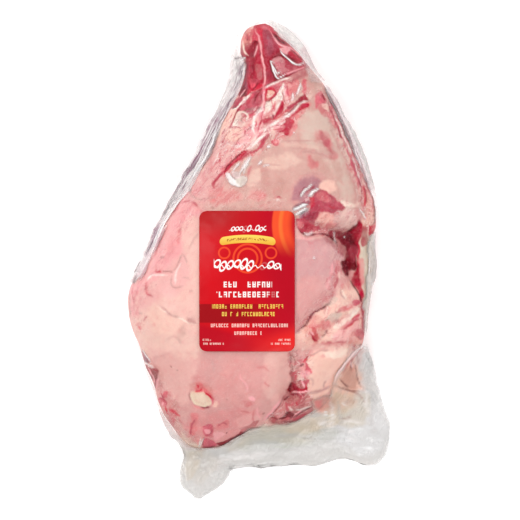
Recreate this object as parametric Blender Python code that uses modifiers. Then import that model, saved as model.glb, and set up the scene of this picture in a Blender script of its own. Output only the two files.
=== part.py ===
"""A raw leg of lamb, vacuum-packed in a clear bag with a paper label stuck on top.

The pack lies on its back on a flat underside, the shank towards +Y, +X to the right and +Z up.
The origin is the centre of its box at the resting plane. Lengths are in metres.
Two solids: the sealed bag with the leg in it, and the label.
"""

import bmesh
import bpy
import numpy as np

MM = 0.001

# Driving dimensions
PACK_LENGTH = 447 * MM
SKIRT_END = -PACK_LENGTH / 2
SHANK_END = PACK_LENGTH / 2
FILM_WEB = 1.8 * MM          # the two stuck films, with the juice between them
FLAT_SHARE = 0.55            # share of the half width that rests flat
CROWN_ROUNDING = 2.2         # section between an ellipse (2) and a box
WEB_DROOP = 0.62             # how far the film edge hangs from the leg's side towards the table

LABEL_WIDTH = 88 * MM
LABEL_HEIGHT = 129.5 * MM
LABEL_CORNER = 7 * MM
LABEL_CENTRE = (-10.5 * MM, -20 * MM)
LABEL_PAPER = 0.3 * MM
LABEL_GAP = 0.6 * MM

ROWS = 74
TOP_COLUMNS = 34
BASE_COLUMNS = 12
EDGE_COLUMNS = 2
LABEL_ROWS = 14
LABEL_COLUMNS = 10
LABEL_ARC_STEPS = 4

# Outlines in plan: distance along the pack, then distance across it, in millimetres.
BAG_LEFT = [(-223.5, -64), (-217, -69), (-208, -72), (-185, -71), (-159, -85), (-131, -96),
            (-94, -108), (-70, -117), (-47, -123.7), (-28, -122), (0, -111), (37, -92.5),
            (111, -54.5), (167, -28.5), (190, -25.5), (204, -22), (214, -16), (223.5, 3)]
BAG_RIGHT = [(-223.5, -52), (-218, -45), (-208, -33), (-197, -28), (-191, 110), (-180, 120.5),
             (-165, 123.7), (-131, 115), (-94, 106), (-75, 100.5), (-30, 106), (-12, 110),
             (18, 109), (41, 112), (83, 104), (111, 93.5), (148, 75), (195, 48), (213, 30),
             (223.5, 13)]
LEG_LEFT = [(-223.5, -61), (-185, -60), (-168, -66), (-154, -80), (-131, -93), (-94, -105.5),
            (-60, -118), (-38, -120.5), (-19, -117), (0, -104), (37, -85), (74, -63), (111, -43),
            (148, -24), (168, -18), (186, -15), (200, -17), (213, -11), (223.5, 5.5)]
LEG_RIGHT = [(-223.5, -55), (-197, -40), (-185, -36), (-168, -26), (-154, 20), (-131, 59),
             (-103, 77), (-80, 95), (-38, 101), (18, 104), (41, 109), (83, 96), (111, 85),
             (139, 72), (167, 57), (200, 29), (215, 14.5), (223.5, 10.5)]

# Heights along the pack, in millimetres: the top of the leg, and its widest level.
CROWN = [(-223.5, 2.4), (-190, 3), (-180, 7), (-165, 27), (-150, 44), (-131, 58), (-100, 72),
         (-60, 82), (-10, 85), (40, 81), (80, 72), (120, 62), (160, 51), (190, 45), (206, 39),
         (216, 28), (223.5, 13)]
SIDE = [(-223.5, 2.1), (-185, 2.6), (-165, 11), (-131, 20), (-60, 29), (40, 29), (120, 24),
        (190, 20), (216, 14), (223.5, 9)]

# Swellings of the muscles: name, centre across and along, half sizes, turn in degrees, lift.
LOBES = [
    ("rump", -31, -128, 64, 46, 15, 6.0),
    ("inner_round", 56, -24, 34, 52, -6, 5.0),
    ("upper_leg", 40, 96, 48, 74, 25, 4.5),
    ("heel", 70, -98, 30, 22, 20, 5.0),
    ("flank", -90, -40, 36, 84, 8, 3.0),
    ("shank", 6, 196, 16, 26, 0, 3.0),
]

# Valleys between the muscles: name, both ends across and along, half width, depth.
VALLEYS = [
    ("cavity", 84, 22, 86, -14, 9, 14.0),
    ("cavity_tail", 86, -14, 97, -42, 5, 4.0),
    ("under_upper_leg", 46, 28, 80, 22, 7, 7.0),
    ("under_inner_round", 66, -37, 42, -61, 7, 5.0),
    ("rump_side", 31, -98, 27, -124, 9, 8.0),
    ("rump_tip", 27, -126, 2, -153, 9, 7.0),
    ("neck_of_shank", -10, 150, 47, 180, 7, 4.0),
    ("seam_upper", -8, 122, 44, 151, 6, 2.5),
    ("seam_lower", -10, 100, -40, 72, 6, 2.5),
    ("fat_fold", 62, -66, 92, -46, 6, 3.0),
    ("heel_fold", 48, -82, 84, -82, 7, 4.0),
]


def smooth_through(points, along):
    """Monotone cubic through points of (position, value) in millimetres, read in metres."""
    at, value = np.array(points, dtype=float).T * MM
    slope = np.diff(value) / np.diff(at)
    before, after = slope[:-1], slope[1:]
    same_way = before * after > 0
    inner = np.where(same_way, 2 * before * after / np.where(same_way, before + after, 1), 0)
    tangent = np.concatenate([slope[:1], inner, slope[-1:]])
    part = np.clip(np.searchsorted(at, along) - 1, 0, len(at) - 2)
    span = at[part + 1] - at[part]
    t = np.clip((along - at[part]) / span, 0, 1)
    return (value[part] * (1 + 2 * t) * (1 - t) ** 2
            + value[part + 1] * t ** 2 * (3 - 2 * t)
            + span * tangent[part] * t * (1 - t) ** 2
            - span * tangent[part + 1] * t ** 2 * (1 - t))


def relief(x, y):
    """Height that the muscles add to the plain crowned form, and the valleys take away."""
    height = np.zeros_like(x)
    for _, centre_x, centre_y, half_x, half_y, turn, lift in LOBES:
        angle = np.radians(turn)
        across = (x - centre_x * MM) * np.cos(angle) + (y - centre_y * MM) * np.sin(angle)
        along = (y - centre_y * MM) * np.cos(angle) - (x - centre_x * MM) * np.sin(angle)
        reach = (across / (half_x * MM)) ** 2 + (along / (half_y * MM)) ** 2
        height += lift * MM * np.clip(1 - reach, 0, 1) ** 2
    for _, start_x, start_y, end_x, end_y, half_width, depth in VALLEYS:
        run_x, run_y = (end_x - start_x) * MM, (end_y - start_y) * MM
        from_x, from_y = x - start_x * MM, y - start_y * MM
        share = np.clip((from_x * run_x + from_y * run_y) / (run_x ** 2 + run_y ** 2), 0, 1)
        away = np.hypot(from_x - share * run_x, from_y - share * run_y)
        height -= depth * MM * np.exp(-(away / (half_width * MM)) ** 2)
    return height


def section(y):
    """The half width, middle and levels of the leg at each distance along the pack."""
    left, right = smooth_through(LEG_LEFT, y), smooth_through(LEG_RIGHT, y)
    return (left + right) / 2, (right - left) / 2, smooth_through(SIDE, y), smooth_through(CROWN, y)


def leg_top(x, y):
    """The upper surface of the leg: a crowned section with the muscles' relief."""
    middle, half, side, crown = section(y)
    share = np.clip(np.abs(x - middle) / half, 0, 1)
    dome = (1 - share ** CROWN_ROUNDING) ** (1 / CROWN_ROUNDING)
    rise = (crown - side) * dome
    steady = np.clip(rise / (25 * MM), 0, 1)        # no relief where the leg is thin
    return side + rise + steady * relief(x, y)


def leg_base(x, y):
    """The underside: flat on the table, curving up to the widest level."""
    middle, half, side, _ = section(y)
    share = np.clip((np.abs(x - middle) / half - FLAT_SHARE) / (1 - FLAT_SHARE), 0, 1)
    return (side - FILM_WEB) * share ** 2


def across_columns(y, columns):
    """Places across the leg at each row, closer together towards its steep sides."""
    middle, half, _, _ = section(y)
    even = np.linspace(-1, 1, columns + 1)[None, :]
    spread = 0.5 * even + 0.5 * np.sin(even * np.pi / 2)
    return middle[:, None] + half[:, None] * spread


def edge_web(y, bag_edge, leg_edge):
    """The film beside the leg, from the bag's edge in to the leg: places and top levels."""
    side = smooth_through(SIDE, y)
    outer = np.maximum(side * (1 - WEB_DROOP), FILM_WEB + 0.2 * MM)
    share = np.arange(EDGE_COLUMNS) / EDGE_COLUMNS
    x = bag_edge[:, None] + (leg_edge - bag_edge)[:, None] * share[None, :]
    z = outer[:, None] + (side - outer)[:, None] * share[None, :] ** 1.5
    return x, z


def bag_sections():
    """Closed loops of points, one for each row: over the top and back along the underside."""
    y = np.linspace(SKIRT_END, SHANK_END, ROWS + 1)
    left_x, left_z = edge_web(y, smooth_through(BAG_LEFT, y), smooth_through(LEG_LEFT, y))
    right_x, right_z = edge_web(y, smooth_through(BAG_RIGHT, y), smooth_through(LEG_RIGHT, y))
    top_x = across_columns(y, TOP_COLUMNS)
    base_x = across_columns(y, BASE_COLUMNS)[:, ::-1]
    top_y = np.repeat(y[:, None], top_x.shape[1], axis=1)
    base_y = np.repeat(y[:, None], base_x.shape[1], axis=1)
    x = np.hstack([left_x, top_x, right_x[:, ::-1], right_x, base_x, left_x[:, ::-1]])
    z = np.hstack([left_z, leg_top(top_x, top_y), right_z[:, ::-1], right_z - FILM_WEB,
                   leg_base(base_x, base_y), left_z[:, ::-1] - FILM_WEB])
    return np.dstack([x, np.repeat(y[:, None], x.shape[1], axis=1), z])


def material(name, color, roughness):
    """A plain Principled material."""
    made = bpy.data.materials.new(name)
    made.use_nodes = True
    shader = made.node_tree.nodes["Principled BSDF"]
    shader.inputs["Base Color"].default_value = (*color, 1)
    shader.inputs["Roughness"].default_value = roughness
    shader.inputs["Metallic"].default_value = 0
    made.diffuse_color = (*color, 1)
    return made


def add_object(name, build, surface, collection):
    """Put a bmesh into a named object of the collection, shaded smooth."""
    mesh = bpy.data.meshes.new(name)
    bmesh.ops.recalc_face_normals(build, faces=build.faces)
    build.to_mesh(mesh)
    build.free()
    mesh.shade_smooth()
    mesh.materials.append(surface)
    made = bpy.data.objects.new(name, mesh)
    collection.objects.link(made)
    return made


def make_bag(collection):
    """The sealed bag with the leg in it: a loft through its closed sections."""
    build = bmesh.new()
    loops = [[build.verts.new(point) for point in loop] for loop in bag_sections()]
    for near, far in zip(loops, loops[1:]):
        for i in range(len(near)):
            build.faces.new((near[i - 1], near[i], far[i], far[i - 1]))
    build.faces.new(loops[0])
    build.faces.new(loops[-1])
    return add_object("sealed_bag", build, material("raw_lamb", (0.72, 0.36, 0.33), 0.35), collection)


def label_rows():
    """Rows of the label from bottom to top, each with its half width: rounded corners."""
    straight = LABEL_HEIGHT / 2 - LABEL_CORNER
    turn = np.linspace(0, np.pi / 2, LABEL_ARC_STEPS + 1)
    arc_y = straight + LABEL_CORNER * np.sin(turn)
    arc_half = LABEL_WIDTH / 2 - LABEL_CORNER + LABEL_CORNER * np.cos(turn)
    middle = np.linspace(-straight, straight, LABEL_ROWS + 1)[1:-1]
    y = np.concatenate([-arc_y[::-1], middle, arc_y])
    half = np.concatenate([arc_half[::-1], np.full(len(middle), LABEL_WIDTH / 2), arc_half])
    return y + LABEL_CENTRE[1], half


def make_label(collection):
    """The label: a sheet with rounded corners that follows the bag, given its thickness."""
    y, half = label_rows()
    share = np.linspace(-1, 1, LABEL_COLUMNS + 1)
    x = LABEL_CENTRE[0] + half[:, None] * share[None, :]
    y = np.repeat(y[:, None], x.shape[1], axis=1)
    points = np.dstack([x, y, leg_top(x, y) + LABEL_GAP])
    build = bmesh.new()
    rows = [[build.verts.new(point) for point in row] for row in points]
    for near, far in zip(rows, rows[1:]):
        for i in range(LABEL_COLUMNS):
            build.faces.new((near[i], near[i + 1], far[i + 1], far[i]))
    made = add_object("label", build, material("label_paper", (0.62, 0.02, 0.03), 0.35), collection)
    paper = made.modifiers.new("paper", "SOLIDIFY")
    paper.thickness = LABEL_PAPER
    paper.offset = 1
    return made


def main():
    for old in list(bpy.data.objects):
        bpy.data.objects.remove(old, do_unlink=True)
    collection = bpy.data.collections.new("vacuum_packed_leg_of_lamb")
    bpy.context.scene.collection.children.link(collection)
    make_bag(collection)
    make_label(collection)


main()
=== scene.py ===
import bpy
import numpy as np
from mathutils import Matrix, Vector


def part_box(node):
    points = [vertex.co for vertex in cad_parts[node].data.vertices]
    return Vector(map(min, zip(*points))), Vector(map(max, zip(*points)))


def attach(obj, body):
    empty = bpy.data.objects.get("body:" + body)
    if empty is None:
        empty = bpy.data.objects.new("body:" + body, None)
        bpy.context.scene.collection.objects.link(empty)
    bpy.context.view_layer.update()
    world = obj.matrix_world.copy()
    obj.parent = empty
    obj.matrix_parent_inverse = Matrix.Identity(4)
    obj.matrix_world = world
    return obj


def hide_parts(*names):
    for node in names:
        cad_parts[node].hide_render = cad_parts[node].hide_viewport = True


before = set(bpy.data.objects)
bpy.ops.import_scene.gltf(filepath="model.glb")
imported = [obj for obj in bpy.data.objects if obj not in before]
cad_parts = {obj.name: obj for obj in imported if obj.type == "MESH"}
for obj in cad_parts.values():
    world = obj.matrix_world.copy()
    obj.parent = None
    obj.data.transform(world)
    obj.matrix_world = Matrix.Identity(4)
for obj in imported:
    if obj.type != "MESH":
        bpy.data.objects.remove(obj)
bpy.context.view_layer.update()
bagLow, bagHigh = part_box("sealed_bag")
labelLow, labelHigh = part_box("label")
packLength = 447
mm = (bagHigh.y - bagLow.y) / packLength          # one millimetre of the lists, in scene units


# ---- shared shapes: outlines as (along, across), heights as (along, height)

lamb = {
    "rows": 420,
    "topColumns": 208,
    "baseColumns": 28,
    "rounding": 2.2,            # section between an ellipse, 2, and a box
    "flatShare": 0.5,           # share of the half width that lies flat on the table
    "lumps": 0.7,               # height of the soft unevenness of the fat
    "pores": 0.16,
    "left": [(-176.5, -55.5), (-175, -63), (-169.5, -70), (-158.5, -78.5), (-144.5, -88),
             (-130.5, -94), (-119.5, -96.5), (-110, -100), (-101, -104.5), (-91.5, -107.5),
             (-79.5, -111), (-65.5, -117), (-51.5, -120.5), (-37.5, -121.5), (-28.5, -120),
             (-19, -116), (-10, -108.5), (-0.5, -102), (13.5, -95.5), (35, -86), (50.5, -76),
             (67.5, -62), (88, -51.5), (111, -41.5), (134.5, -30), (148.5, -22), (162.5, -15.5),
             (176, -12.5), (185.5, -14.5), (194, -17), (202.5, -16.5), (209.5, -14.5),
             (215.5, -10), (218.5, -3.5), (220, 3.5)],
    "right": [(-176.5, -53.5), (-176, -40.5), (-173.5, -33), (-168, -23.5), (-163, -14.5),
             (-158, -5), (-155, 26.5), (-149.5, 38.5), (-142, 50), (-133.5, 63), (-126, 67.5),
             (-116.5, 72), (-103, 77.5), (-91.5, 85), (-84, 91.5), (-79.5, 96.5), (-70, 98.5),
             (-51.5, 100), (-37.5, 101.5), (-10, 102.5), (13.5, 104), (23, 107.5), (35, 109.5),
             (44, 109.5), (55.5, 107.5), (64.5, 104), (78.5, 100), (92.5, 95.5), (104.5, 89.5),
             (120.5, 83.5), (129.5, 79), (139, 74.5), (148.5, 70), (162.5, 61), (174.5, 51.5),
             (183.5, 44), (193, 36.5), (199.5, 29.5), (206, 23), (212.5, 17), (217, 12.5),
             (220, 7)],
    "crown": [(-176.5, 9), (-173, 17), (-165, 29), (-150, 45), (-131, 58), (-100, 72), (-60, 82),
              (-10, 85), (40, 81), (80, 72), (120, 62), (160, 51), (190, 45), (206, 37),
              (215, 28), (220, 16)],
    "side": [(-176.5, 7), (-165, 12), (-131, 20), (-60, 29), (40, 29), (120, 24), (190, 20),
             (212, 15), (220, 12)],
    # swellings of the muscles: centre across and along, half sizes, turn in degrees, lift
    "lobes": {
        "rump": (-31, -128, 64, 46, 15, 6.0),
        "inner round": (56, -24, 34, 52, -6, 5.0),
        "upper leg": (40, 96, 48, 74, 25, 4.5),
        "heel": (70, -98, 30, 22, 20, 5.0),
        "flank": (-90, -40, 36, 84, 8, 3.0),
        "shank": (6, 196, 16, 26, 0, 3.0),
    },
    # valleys between the muscles: both ends across and along, half width, depth
    "valleys": {
        "cavity": (84, 22, 86, -14, 9, 14.0),
        "cavity tail": (86, -14, 97, -42, 5, 4.0),
        "under the upper leg": (46, 28, 80, 22, 7, 7.0),
        "under the inner round": (66, -37, 42, -61, 7, 5.0),
        "beside the rump": (31, -98, 27, -124, 9, 8.0),
        "rump tip": (27, -126, 2, -153, 9, 7.0),
        "neck of the shank": (-10, 150, 47, 180, 7, 4.0),
        "upper seam": (-8, 122, 44, 151, 6, 2.5),
        "lower seam": (-10, 100, -40, 72, 6, 2.5),
        "fat fold": (62, -66, 92, -46, 6, 3.0),
        "heel fold": (48, -82, 84, -82, 7, 4.0),
    },
}

film = {
    "rows": 396,
    "legColumns": 170,
    "webColumns": 24,
    "baseColumns": 30,
    "clearance": 0.6,           # how far the film stands off the meat
    "webGap": 1.0,              # between the two sheets where there is no meat
    "edgeShare": 0.38,          # height of the welded edge, as a share of the leg's widest level
    "edgeLeast": 2.0,
    "webCurve": 1.5,
    "crumple": 2.6,             # height of the crushed folds in the loose skirt
    "pleat": 0.5,               # height of the fine pleats beside the leg
    "clearHaze": 0.006,
    "webHaze": 0.38,
    "skirtHaze": 0.30,
    "left": [(-223.5, -58), (-219, -63), (-212, -71), (-204, -74), (-185, -70), (-159, -85),
             (-131, -96), (-94, -108), (-70, -117), (-47, -123.7), (-28, -122), (0, -111),
             (37, -92.5), (111, -54.5), (167, -28.5), (190, -25.5), (204, -22), (214, -16),
             (223.5, 3)],
    "right": [(-223.5, -53), (-219, -47), (-211, -35), (-204, -29), (-196, -24), (-191, 110),
              (-180, 120.5),
              (-165, 123.7), (-131, 115), (-94, 106), (-75, 100.5), (-30, 106), (-12, 110),
              (18, 109), (41, 112), (83, 104), (111, 93.5), (148, 73.5), (163, 64.5), (180, 53),
              (206, 38.5), (216, 27), (223.5, 13)],
    # the hem of the skirt rises and falls: centre across, half width, height
    "hem": [(77, 13, 7.0), (35, 22, 2.0), (103, 9, -1.8)],
    "ragged": 1.1,              # how far the welded edge wanders
    # where the folds of the film run along the pack: the leg and its continuation to both ends
    "innerLeft": [(-223.5, -61), (-185, -60), (-168, -66), (-154, -80), (-131, -93), (-94, -105.5),
                  (-60, -118), (-38, -120.5), (-19, -117), (0, -104), (37, -85), (74, -63),
                  (111, -43), (148, -24), (168, -18), (186, -15), (200, -17), (213, -11),
                  (223.5, 5.5)],
    "innerRight": [(-223.5, -55), (-197, -40), (-185, -36), (-168, -26), (-154, 20), (-131, 59),
                   (-103, 77), (-80, 95), (-38, 101), (18, 104), (41, 109), (83, 96), (111, 85),
                   (139, 72), (167, 57), (200, 29), (215, 14.5), (223.5, 10.5)],
}


def smoothThrough(points, along):
    # cubic through the points that never overshoots: each tangent is the harmonic mean of its two slopes
    at, value = np.array(points, dtype=float).T
    slope = np.diff(value) / np.diff(at)
    before, after = slope[:-1], slope[1:]
    sameWay = before * after > 0
    inner = np.where(sameWay, 2 * before * after / np.where(sameWay, before + after, 1), 0)
    tangent = np.concatenate([slope[:1], inner, slope[-1:]])
    part = np.clip(np.searchsorted(at, along) - 1, 0, len(at) - 2)
    span = at[part + 1] - at[part]
    t = np.clip((along - at[part]) / span, 0, 1)
    return (value[part] * (1 + 2 * t) * (1 - t) ** 2
            + value[part + 1] * t ** 2 * (3 - 2 * t)
            + span * tangent[part] * t * (1 - t) ** 2
            - span * tangent[part + 1] * t ** 2 * (1 - t))


def smoothStep(low, high, value):
    t = np.clip((value - low) / (high - low), 0, 1)
    return t * t * (3 - 2 * t)


def softNoise(x, y, size, seed):
    # random heights on a square lattice of the given size, blended between corners: -1 to 1
    lattice = np.random.default_rng(seed).uniform(-1, 1, (128, 128))
    u, v = x / size + 31.7, y / size + 57.3
    column, row = np.floor(u).astype(int), np.floor(v).astype(int)
    s, t = smoothStep(0, 1, u - column), smoothStep(0, 1, v - row)
    corner = [[lattice[(row + j) % 128, (column + i) % 128] for i in (0, 1)] for j in (0, 1)]
    low = corner[0][0] * (1 - s) + corner[0][1] * s
    high = corner[1][0] * (1 - s) + corner[1][1] * s
    return low * (1 - t) + high * t


def cloudNoise(x, y, size, seed, octaves=3):
    # soft noise added up, each octave half as large and half as strong
    total = sum(softNoise(x, y, size / 2 ** k, seed + k) / 2 ** k for k in range(octaves))
    return total / sum(1 / 2 ** k for k in range(octaves))


def relief(x, y):
    # muscles: lift * (1 - r^2)^2 inside an ellipse; valleys: -depth * exp(-(distance / width)^2)
    height = np.zeros_like(x)
    for centreX, centreY, halfX, halfY, turn, lift in lamb["lobes"].values():
        angle = np.radians(turn)
        across = (x - centreX) * np.cos(angle) + (y - centreY) * np.sin(angle)
        along = (y - centreY) * np.cos(angle) - (x - centreX) * np.sin(angle)
        reach = (across / halfX) ** 2 + (along / halfY) ** 2
        height += lift * np.clip(1 - reach, 0, 1) ** 2
    for startX, startY, endX, endY, halfWidth, depth in lamb["valleys"].values():
        runX, runY = endX - startX, endY - startY
        share = np.clip(((x - startX) * runX + (y - startY) * runY) / (runX ** 2 + runY ** 2), 0, 1)
        away = np.hypot(x - startX - share * runX, y - startY - share * runY)
        height -= depth * np.exp(-(away / halfWidth) ** 2)
    return height


def lambSection(y):
    left, right = smoothThrough(lamb["left"], y), smoothThrough(lamb["right"], y)
    return (left + right) / 2, (right - left) / 2, smoothThrough(lamb["side"], y), smoothThrough(lamb["crown"], y)


def lambTop(x, y):
    # side + (crown - side) * (1 - share^n)^(1/n), with the muscles' relief where the leg is thick
    middle, half, side, crown = lambSection(y)
    share = np.clip(np.abs(x - middle) / half, 0, 1)
    rise = (crown - side) * (1 - share ** lamb["rounding"]) ** (1 / lamb["rounding"])
    thick = np.clip(rise / 25, 0, 1)
    lumps = lamb["lumps"] * cloudNoise(x, y, 26, 3) + lamb["pores"] * cloudNoise(x, y, 5, 9, 2)
    return side + rise + thick * relief(x, y) + np.clip(rise / 12, 0, 1) * lumps


def lambBase(x, y):
    # flat on the table, then a quarter circle up to the widest level
    middle, half, side, _ = lambSection(y)
    share = np.clip((np.abs(x - middle) / half - lamb["flatShare"]) / (1 - lamb["flatShare"]), 0, 1)
    return film["clearance"] + 0.3 + (side - film["clearance"] - 0.3) * (1 - np.sqrt(1 - share ** 2))


# ---- painting: patches with soft edges and tapering strokes, laid one over another in plan

palette = {
    "rosePale": (240, 180, 175), "roseWarm": (248, 176, 176), "peach": (250, 200, 184),
    "beigePink": (238, 190, 179), "pinkBack": (230, 167, 164), "beige": (212, 164, 154),
    "pinkBeige": (239, 185, 176), "greyBeige": (220, 190, 177), "pinkRound": (216, 160, 160),
    "pinkRoundLow": (230, 163, 158), "creamPale": (255, 228, 212), "rumpPink": (221, 161, 156),
    "rumpRose": (226, 158, 154), "cream": (246, 200, 178), "fatYellow": (222, 204, 184),
    "fatRose": (240, 180, 165), "apronPink": (225, 180, 172), "shankFat": (226, 144, 136),
    "shankRed": (208, 38, 66), "red": (208, 16, 54), "deepRed": (158, 4, 36), "blood": (168, 24, 48),
    "maroon": (118, 0, 22), "maroonDeep": (88, 0, 16), "maroonBrown": (104, 20, 28),
    "maroonPink": (148, 48, 66), "muscle": (184, 70, 88), "muscleDeep": (176, 58, 78),
    "mauve": (170, 106, 124), "mauveDeep": (172, 56, 76), "pinkMeat": (226, 92, 108),
    "blush": (232, 130, 132), "palePink": (251, 176, 180), "neckRose": (218, 96, 114),
    "pinkSide": (222, 140, 140), "raggedPink": (182, 98, 98), "raggedRose": (194, 74, 90),
    "raggedDull": (182, 110, 108), "raggedBrown": (140, 56, 60), "smear": (206, 118, 110),
    "bubble": (182, 124, 132), "bubbleRim": (215, 155, 150), "bubbleDark": (112, 62, 84),
    "tan": (255, 200, 178), "tanRose": (218, 158, 140), "tanPale": (240, 218, 196),
    "foldShade": (205, 152, 146), "foldDark": (150, 88, 82), "greyPurple": (140, 88, 104),
    "filmGrey": (226, 223, 220), "filmPurple": (146, 86, 116), "filmTan": (210, 194, 172),
    "filmWarm": (190, 172, 158), "filmCool": (222, 220, 220), "filmPale": (249, 242, 238),
    "filmLine": (196, 190, 188), "streakDark": (100, 42, 74), "streakPlum": (84, 30, 58),
    "streakPink": (186, 104, 124), "gleam": (255, 248, 246), "gleamWhite": (255, 255, 255),
    "gleamPink": (254, 216, 216), "purgeLine": (150, 88, 78), "skirtLine": (190, 186, 180),
    "skirtGreen": (188, 190, 178), "labelBright": (212, 12, 26), "labelDeep": (190, 6, 32),
    "labelDull": (184, 26, 30), "labelShade": (150, 10, 20), "labelGlow": (236, 36, 36),
    "labelSweep": (246, 84, 44), "white": (255, 252, 248), "inkYellow": (248, 214, 96),
    "inkPale": (255, 214, 204),
    "labelGold": (252, 140, 60), "inkGold": (236, 178, 62),
    "crimson": (194, 10, 52), "wine": (128, 2, 32), "strandPink": (255, 172, 180),
    # pale strands; the same colour also paints highlights along strands and wrinkles
    "paleStrandAndHighlight": (255, 246, 238),
    "duskRose": (212, 118, 120),
    "contact": (226, 208, 192),
    "bandPurple": (156, 98, 126),
    "bandGrey": (206, 208, 202),
    "wineFilm": (100, 8, 30),
    "crimsonDark": (172, 14, 46),
    "rumpGrey": (214, 160, 156),
    "notchBrown": (146, 82, 84),
    "bloodBrown": (144, 36, 48),
    "legPink": (216, 166, 156),
    "gleamWarm": (238, 222, 208),
    "creamWarm": (244, 204, 184),
    "rimGrey": (206, 198, 198),
    "flankBeige": (244, 200, 186),
    "highlightBeige": (238, 200, 184),
    "shadeRose": (204, 150, 140),
    "fatWhite": (255, 244, 228),
    "buttonCream": (240, 216, 190),
    "buttonLight": (250, 232, 208),
    "deepWine": (150, 38, 56), "softRed": (196, 92, 84), "warmTan": (190, 150, 112), "stripeRose": (190, 70, 90),
    "rimPale": (244, 188, 182),
    "bandPink": (222, 170, 186),
    "hazeRose": (190, 110, 124),
    "foldRose": (226, 138, 122), "foldDeep": (214, 104, 88), "filmShade": (140, 136, 132),
    "purgeBeige": (206, 190, 166),
}


def linear(red, green, blue):
    channel = np.array([red, green, blue]) / 255
    return np.where(channel <= 0.04045, channel / 12.92, ((channel + 0.055) / 1.055) ** 2.4)


def roundOutline(points, closed, steps=5):
    # Catmull-Rom curve through the points
    p = np.array(points, dtype=float)
    if closed:
        before, start, end, after = (np.roll(p, shift, axis=0) for shift in (1, 0, -1, -2))
    else:
        p = np.vstack([2 * p[0] - p[1], p, 2 * p[-1] - p[-2]])
        before, start, end, after = p[:-3], p[1:-2], p[2:-1], p[3:]
    t = np.linspace(0, 1, steps, endpoint=False)[None, :, None]
    before, start, end, after = (q[:, None, :] for q in (before, start, end, after))
    curve = (start + (end - before) * t / 2 + (2 * before - 5 * start + 4 * end - after) * t ** 2 / 2
             + (3 * start - before - 3 * end + after) * t ** 3 / 2).reshape(-1, 2)
    return np.vstack([curve, curve[:1] if closed else p[-2:-1]])


def measureLine(x, y, line):
    # distance to a line of segments, the share of its length at the nearest point, and the side inside it
    best = np.full(x.shape, 1e9)
    along = np.zeros(x.shape)
    inside = np.zeros(x.shape, dtype=bool)
    length = np.hypot(*np.diff(line, axis=0).T)
    start = np.concatenate([[0], np.cumsum(length)])
    for (ax, ay), (bx, by), span, run in zip(line[:-1], line[1:], length, start):
        dx, dy = bx - ax, by - ay
        share = np.clip(((x - ax) * dx + (y - ay) * dy) / max(span ** 2, 1e-9), 0, 1)
        away = (x - ax - share * dx) ** 2 + (y - ay - share * dy) ** 2
        nearer = away < best
        best = np.where(nearer, away, best)
        along = np.where(nearer, run + share * span, along)
        if ay != by:
            crosses = ((ay > y) != (by > y)) & (x < dx * (y - ay) / dy + ax)
            inside ^= crosses
    return np.sqrt(best), along / start[-1], inside


def markWeight(x, y, points, size, isPatch):
    # patch: smooth step across the outline over its edge width; stroke: exp(-(d / width)^2), thin at its ends
    line = roundOutline(points, closed=isPatch)
    away, along, inside = measureLine(x, y, line)
    if isPatch:
        return smoothStep(-size / 2, size / 2, np.where(inside, away, -away))
    taper = smoothStep(-0.02, 0.22, np.minimum(along, 1 - along))
    return np.exp(-(away / (size * (0.45 + 0.55 * taper))) ** 2) * (0.35 + 0.65 * taper)


def paint(x, y, tone, patches, strokes, cover=None):
    # lays the marks over the tone, and returns the tone, the lift and how much the marks cover
    shape = x.shape
    x, y, tone = x.ravel(), y.ravel(), tone.reshape(-1, 3).copy()
    lift = np.zeros(x.size)
    cover = np.zeros(x.size) if cover is None else cover.ravel().copy()
    broad = (cloudNoise(x, y, 13, 21, 2), cloudNoise(x, y, 13, 31, 2))
    fine = (cloudNoise(x, y, 4, 41, 2), cloudNoise(x, y, 4, 51, 2))
    fade = cloudNoise(x, y, 5, 61, 2)
    mottle = cloudNoise(x, y, 6, 65, 3)
    for marks, isPatch in ((patches, True), (strokes, False)):
        for name, colour, strength, size, rise, points in marks:
            corner = np.array(points)
            pad = size * (1.2 if isPatch else 3) + 3
            near = np.nonzero((x > corner[:, 0].min() - pad) & (x < corner[:, 0].max() + pad)
                              & (y > corner[:, 1].min() - pad) & (y < corner[:, 1].max() + pad))[0]
            wander, fray = 0.4 * size, min(0.5 * size + 0.2, 1.8)
            px = x[near] + wander * broad[0][near] + fray * fine[0][near]
            py = y[near] + wander * broad[1][near] + fray * fine[1][near]
            weight = markWeight(px, py, points, size * 0.8 if isPatch else size * 0.72 + 0.16, isPatch)
            shown = np.clip(weight * strength * (1.1 + 0.35 * fade[near]), 0, 1)
            paint = linear(*palette[colour])
            uneven = np.clip(0.6 * (0.55 - paint[1] / paint[0]), 0.04, 0.3)
            paint = paint * (1 + uneven * mottle[near, None])
            tone[near] += shown[:, None] * (paint - tone[near])
            lift[near] += rise * weight
            cover[near] += shown * (1 - cover[near])
    return tone.reshape(*shape, 3), lift.reshape(shape), cover.reshape(shape)


# ---- meshes

def ringMesh(name, rings, material):
    # rings of points along the piece, joined by quads that face outwards, each end closed by a fan
    count, around = rings.shape[:2]
    inner = np.arange(count * around).reshape(count, around)
    nextOne = np.roll(inner, -1, axis=1)
    quads = np.stack([inner[:-1], nextOne[:-1], nextOne[1:], inner[1:]], axis=-1).reshape(-1, 4)
    poles = np.array([rings[0].mean(axis=0), rings[-1].mean(axis=0)])
    foot, tip = count * around, count * around + 1
    footFan = np.stack([nextOne[0], inner[0], np.full(around, foot)], axis=-1)
    tipFan = np.stack([inner[-1], nextOne[-1], np.full(around, tip)], axis=-1)
    mesh = bpy.data.meshes.new(name)
    mesh.from_pydata(np.vstack([rings.reshape(-1, 3), poles]) * mm, [],
                     quads.tolist() + footFan.tolist() + tipFan.tolist())
    return finishPiece(name, mesh, material)


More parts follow.
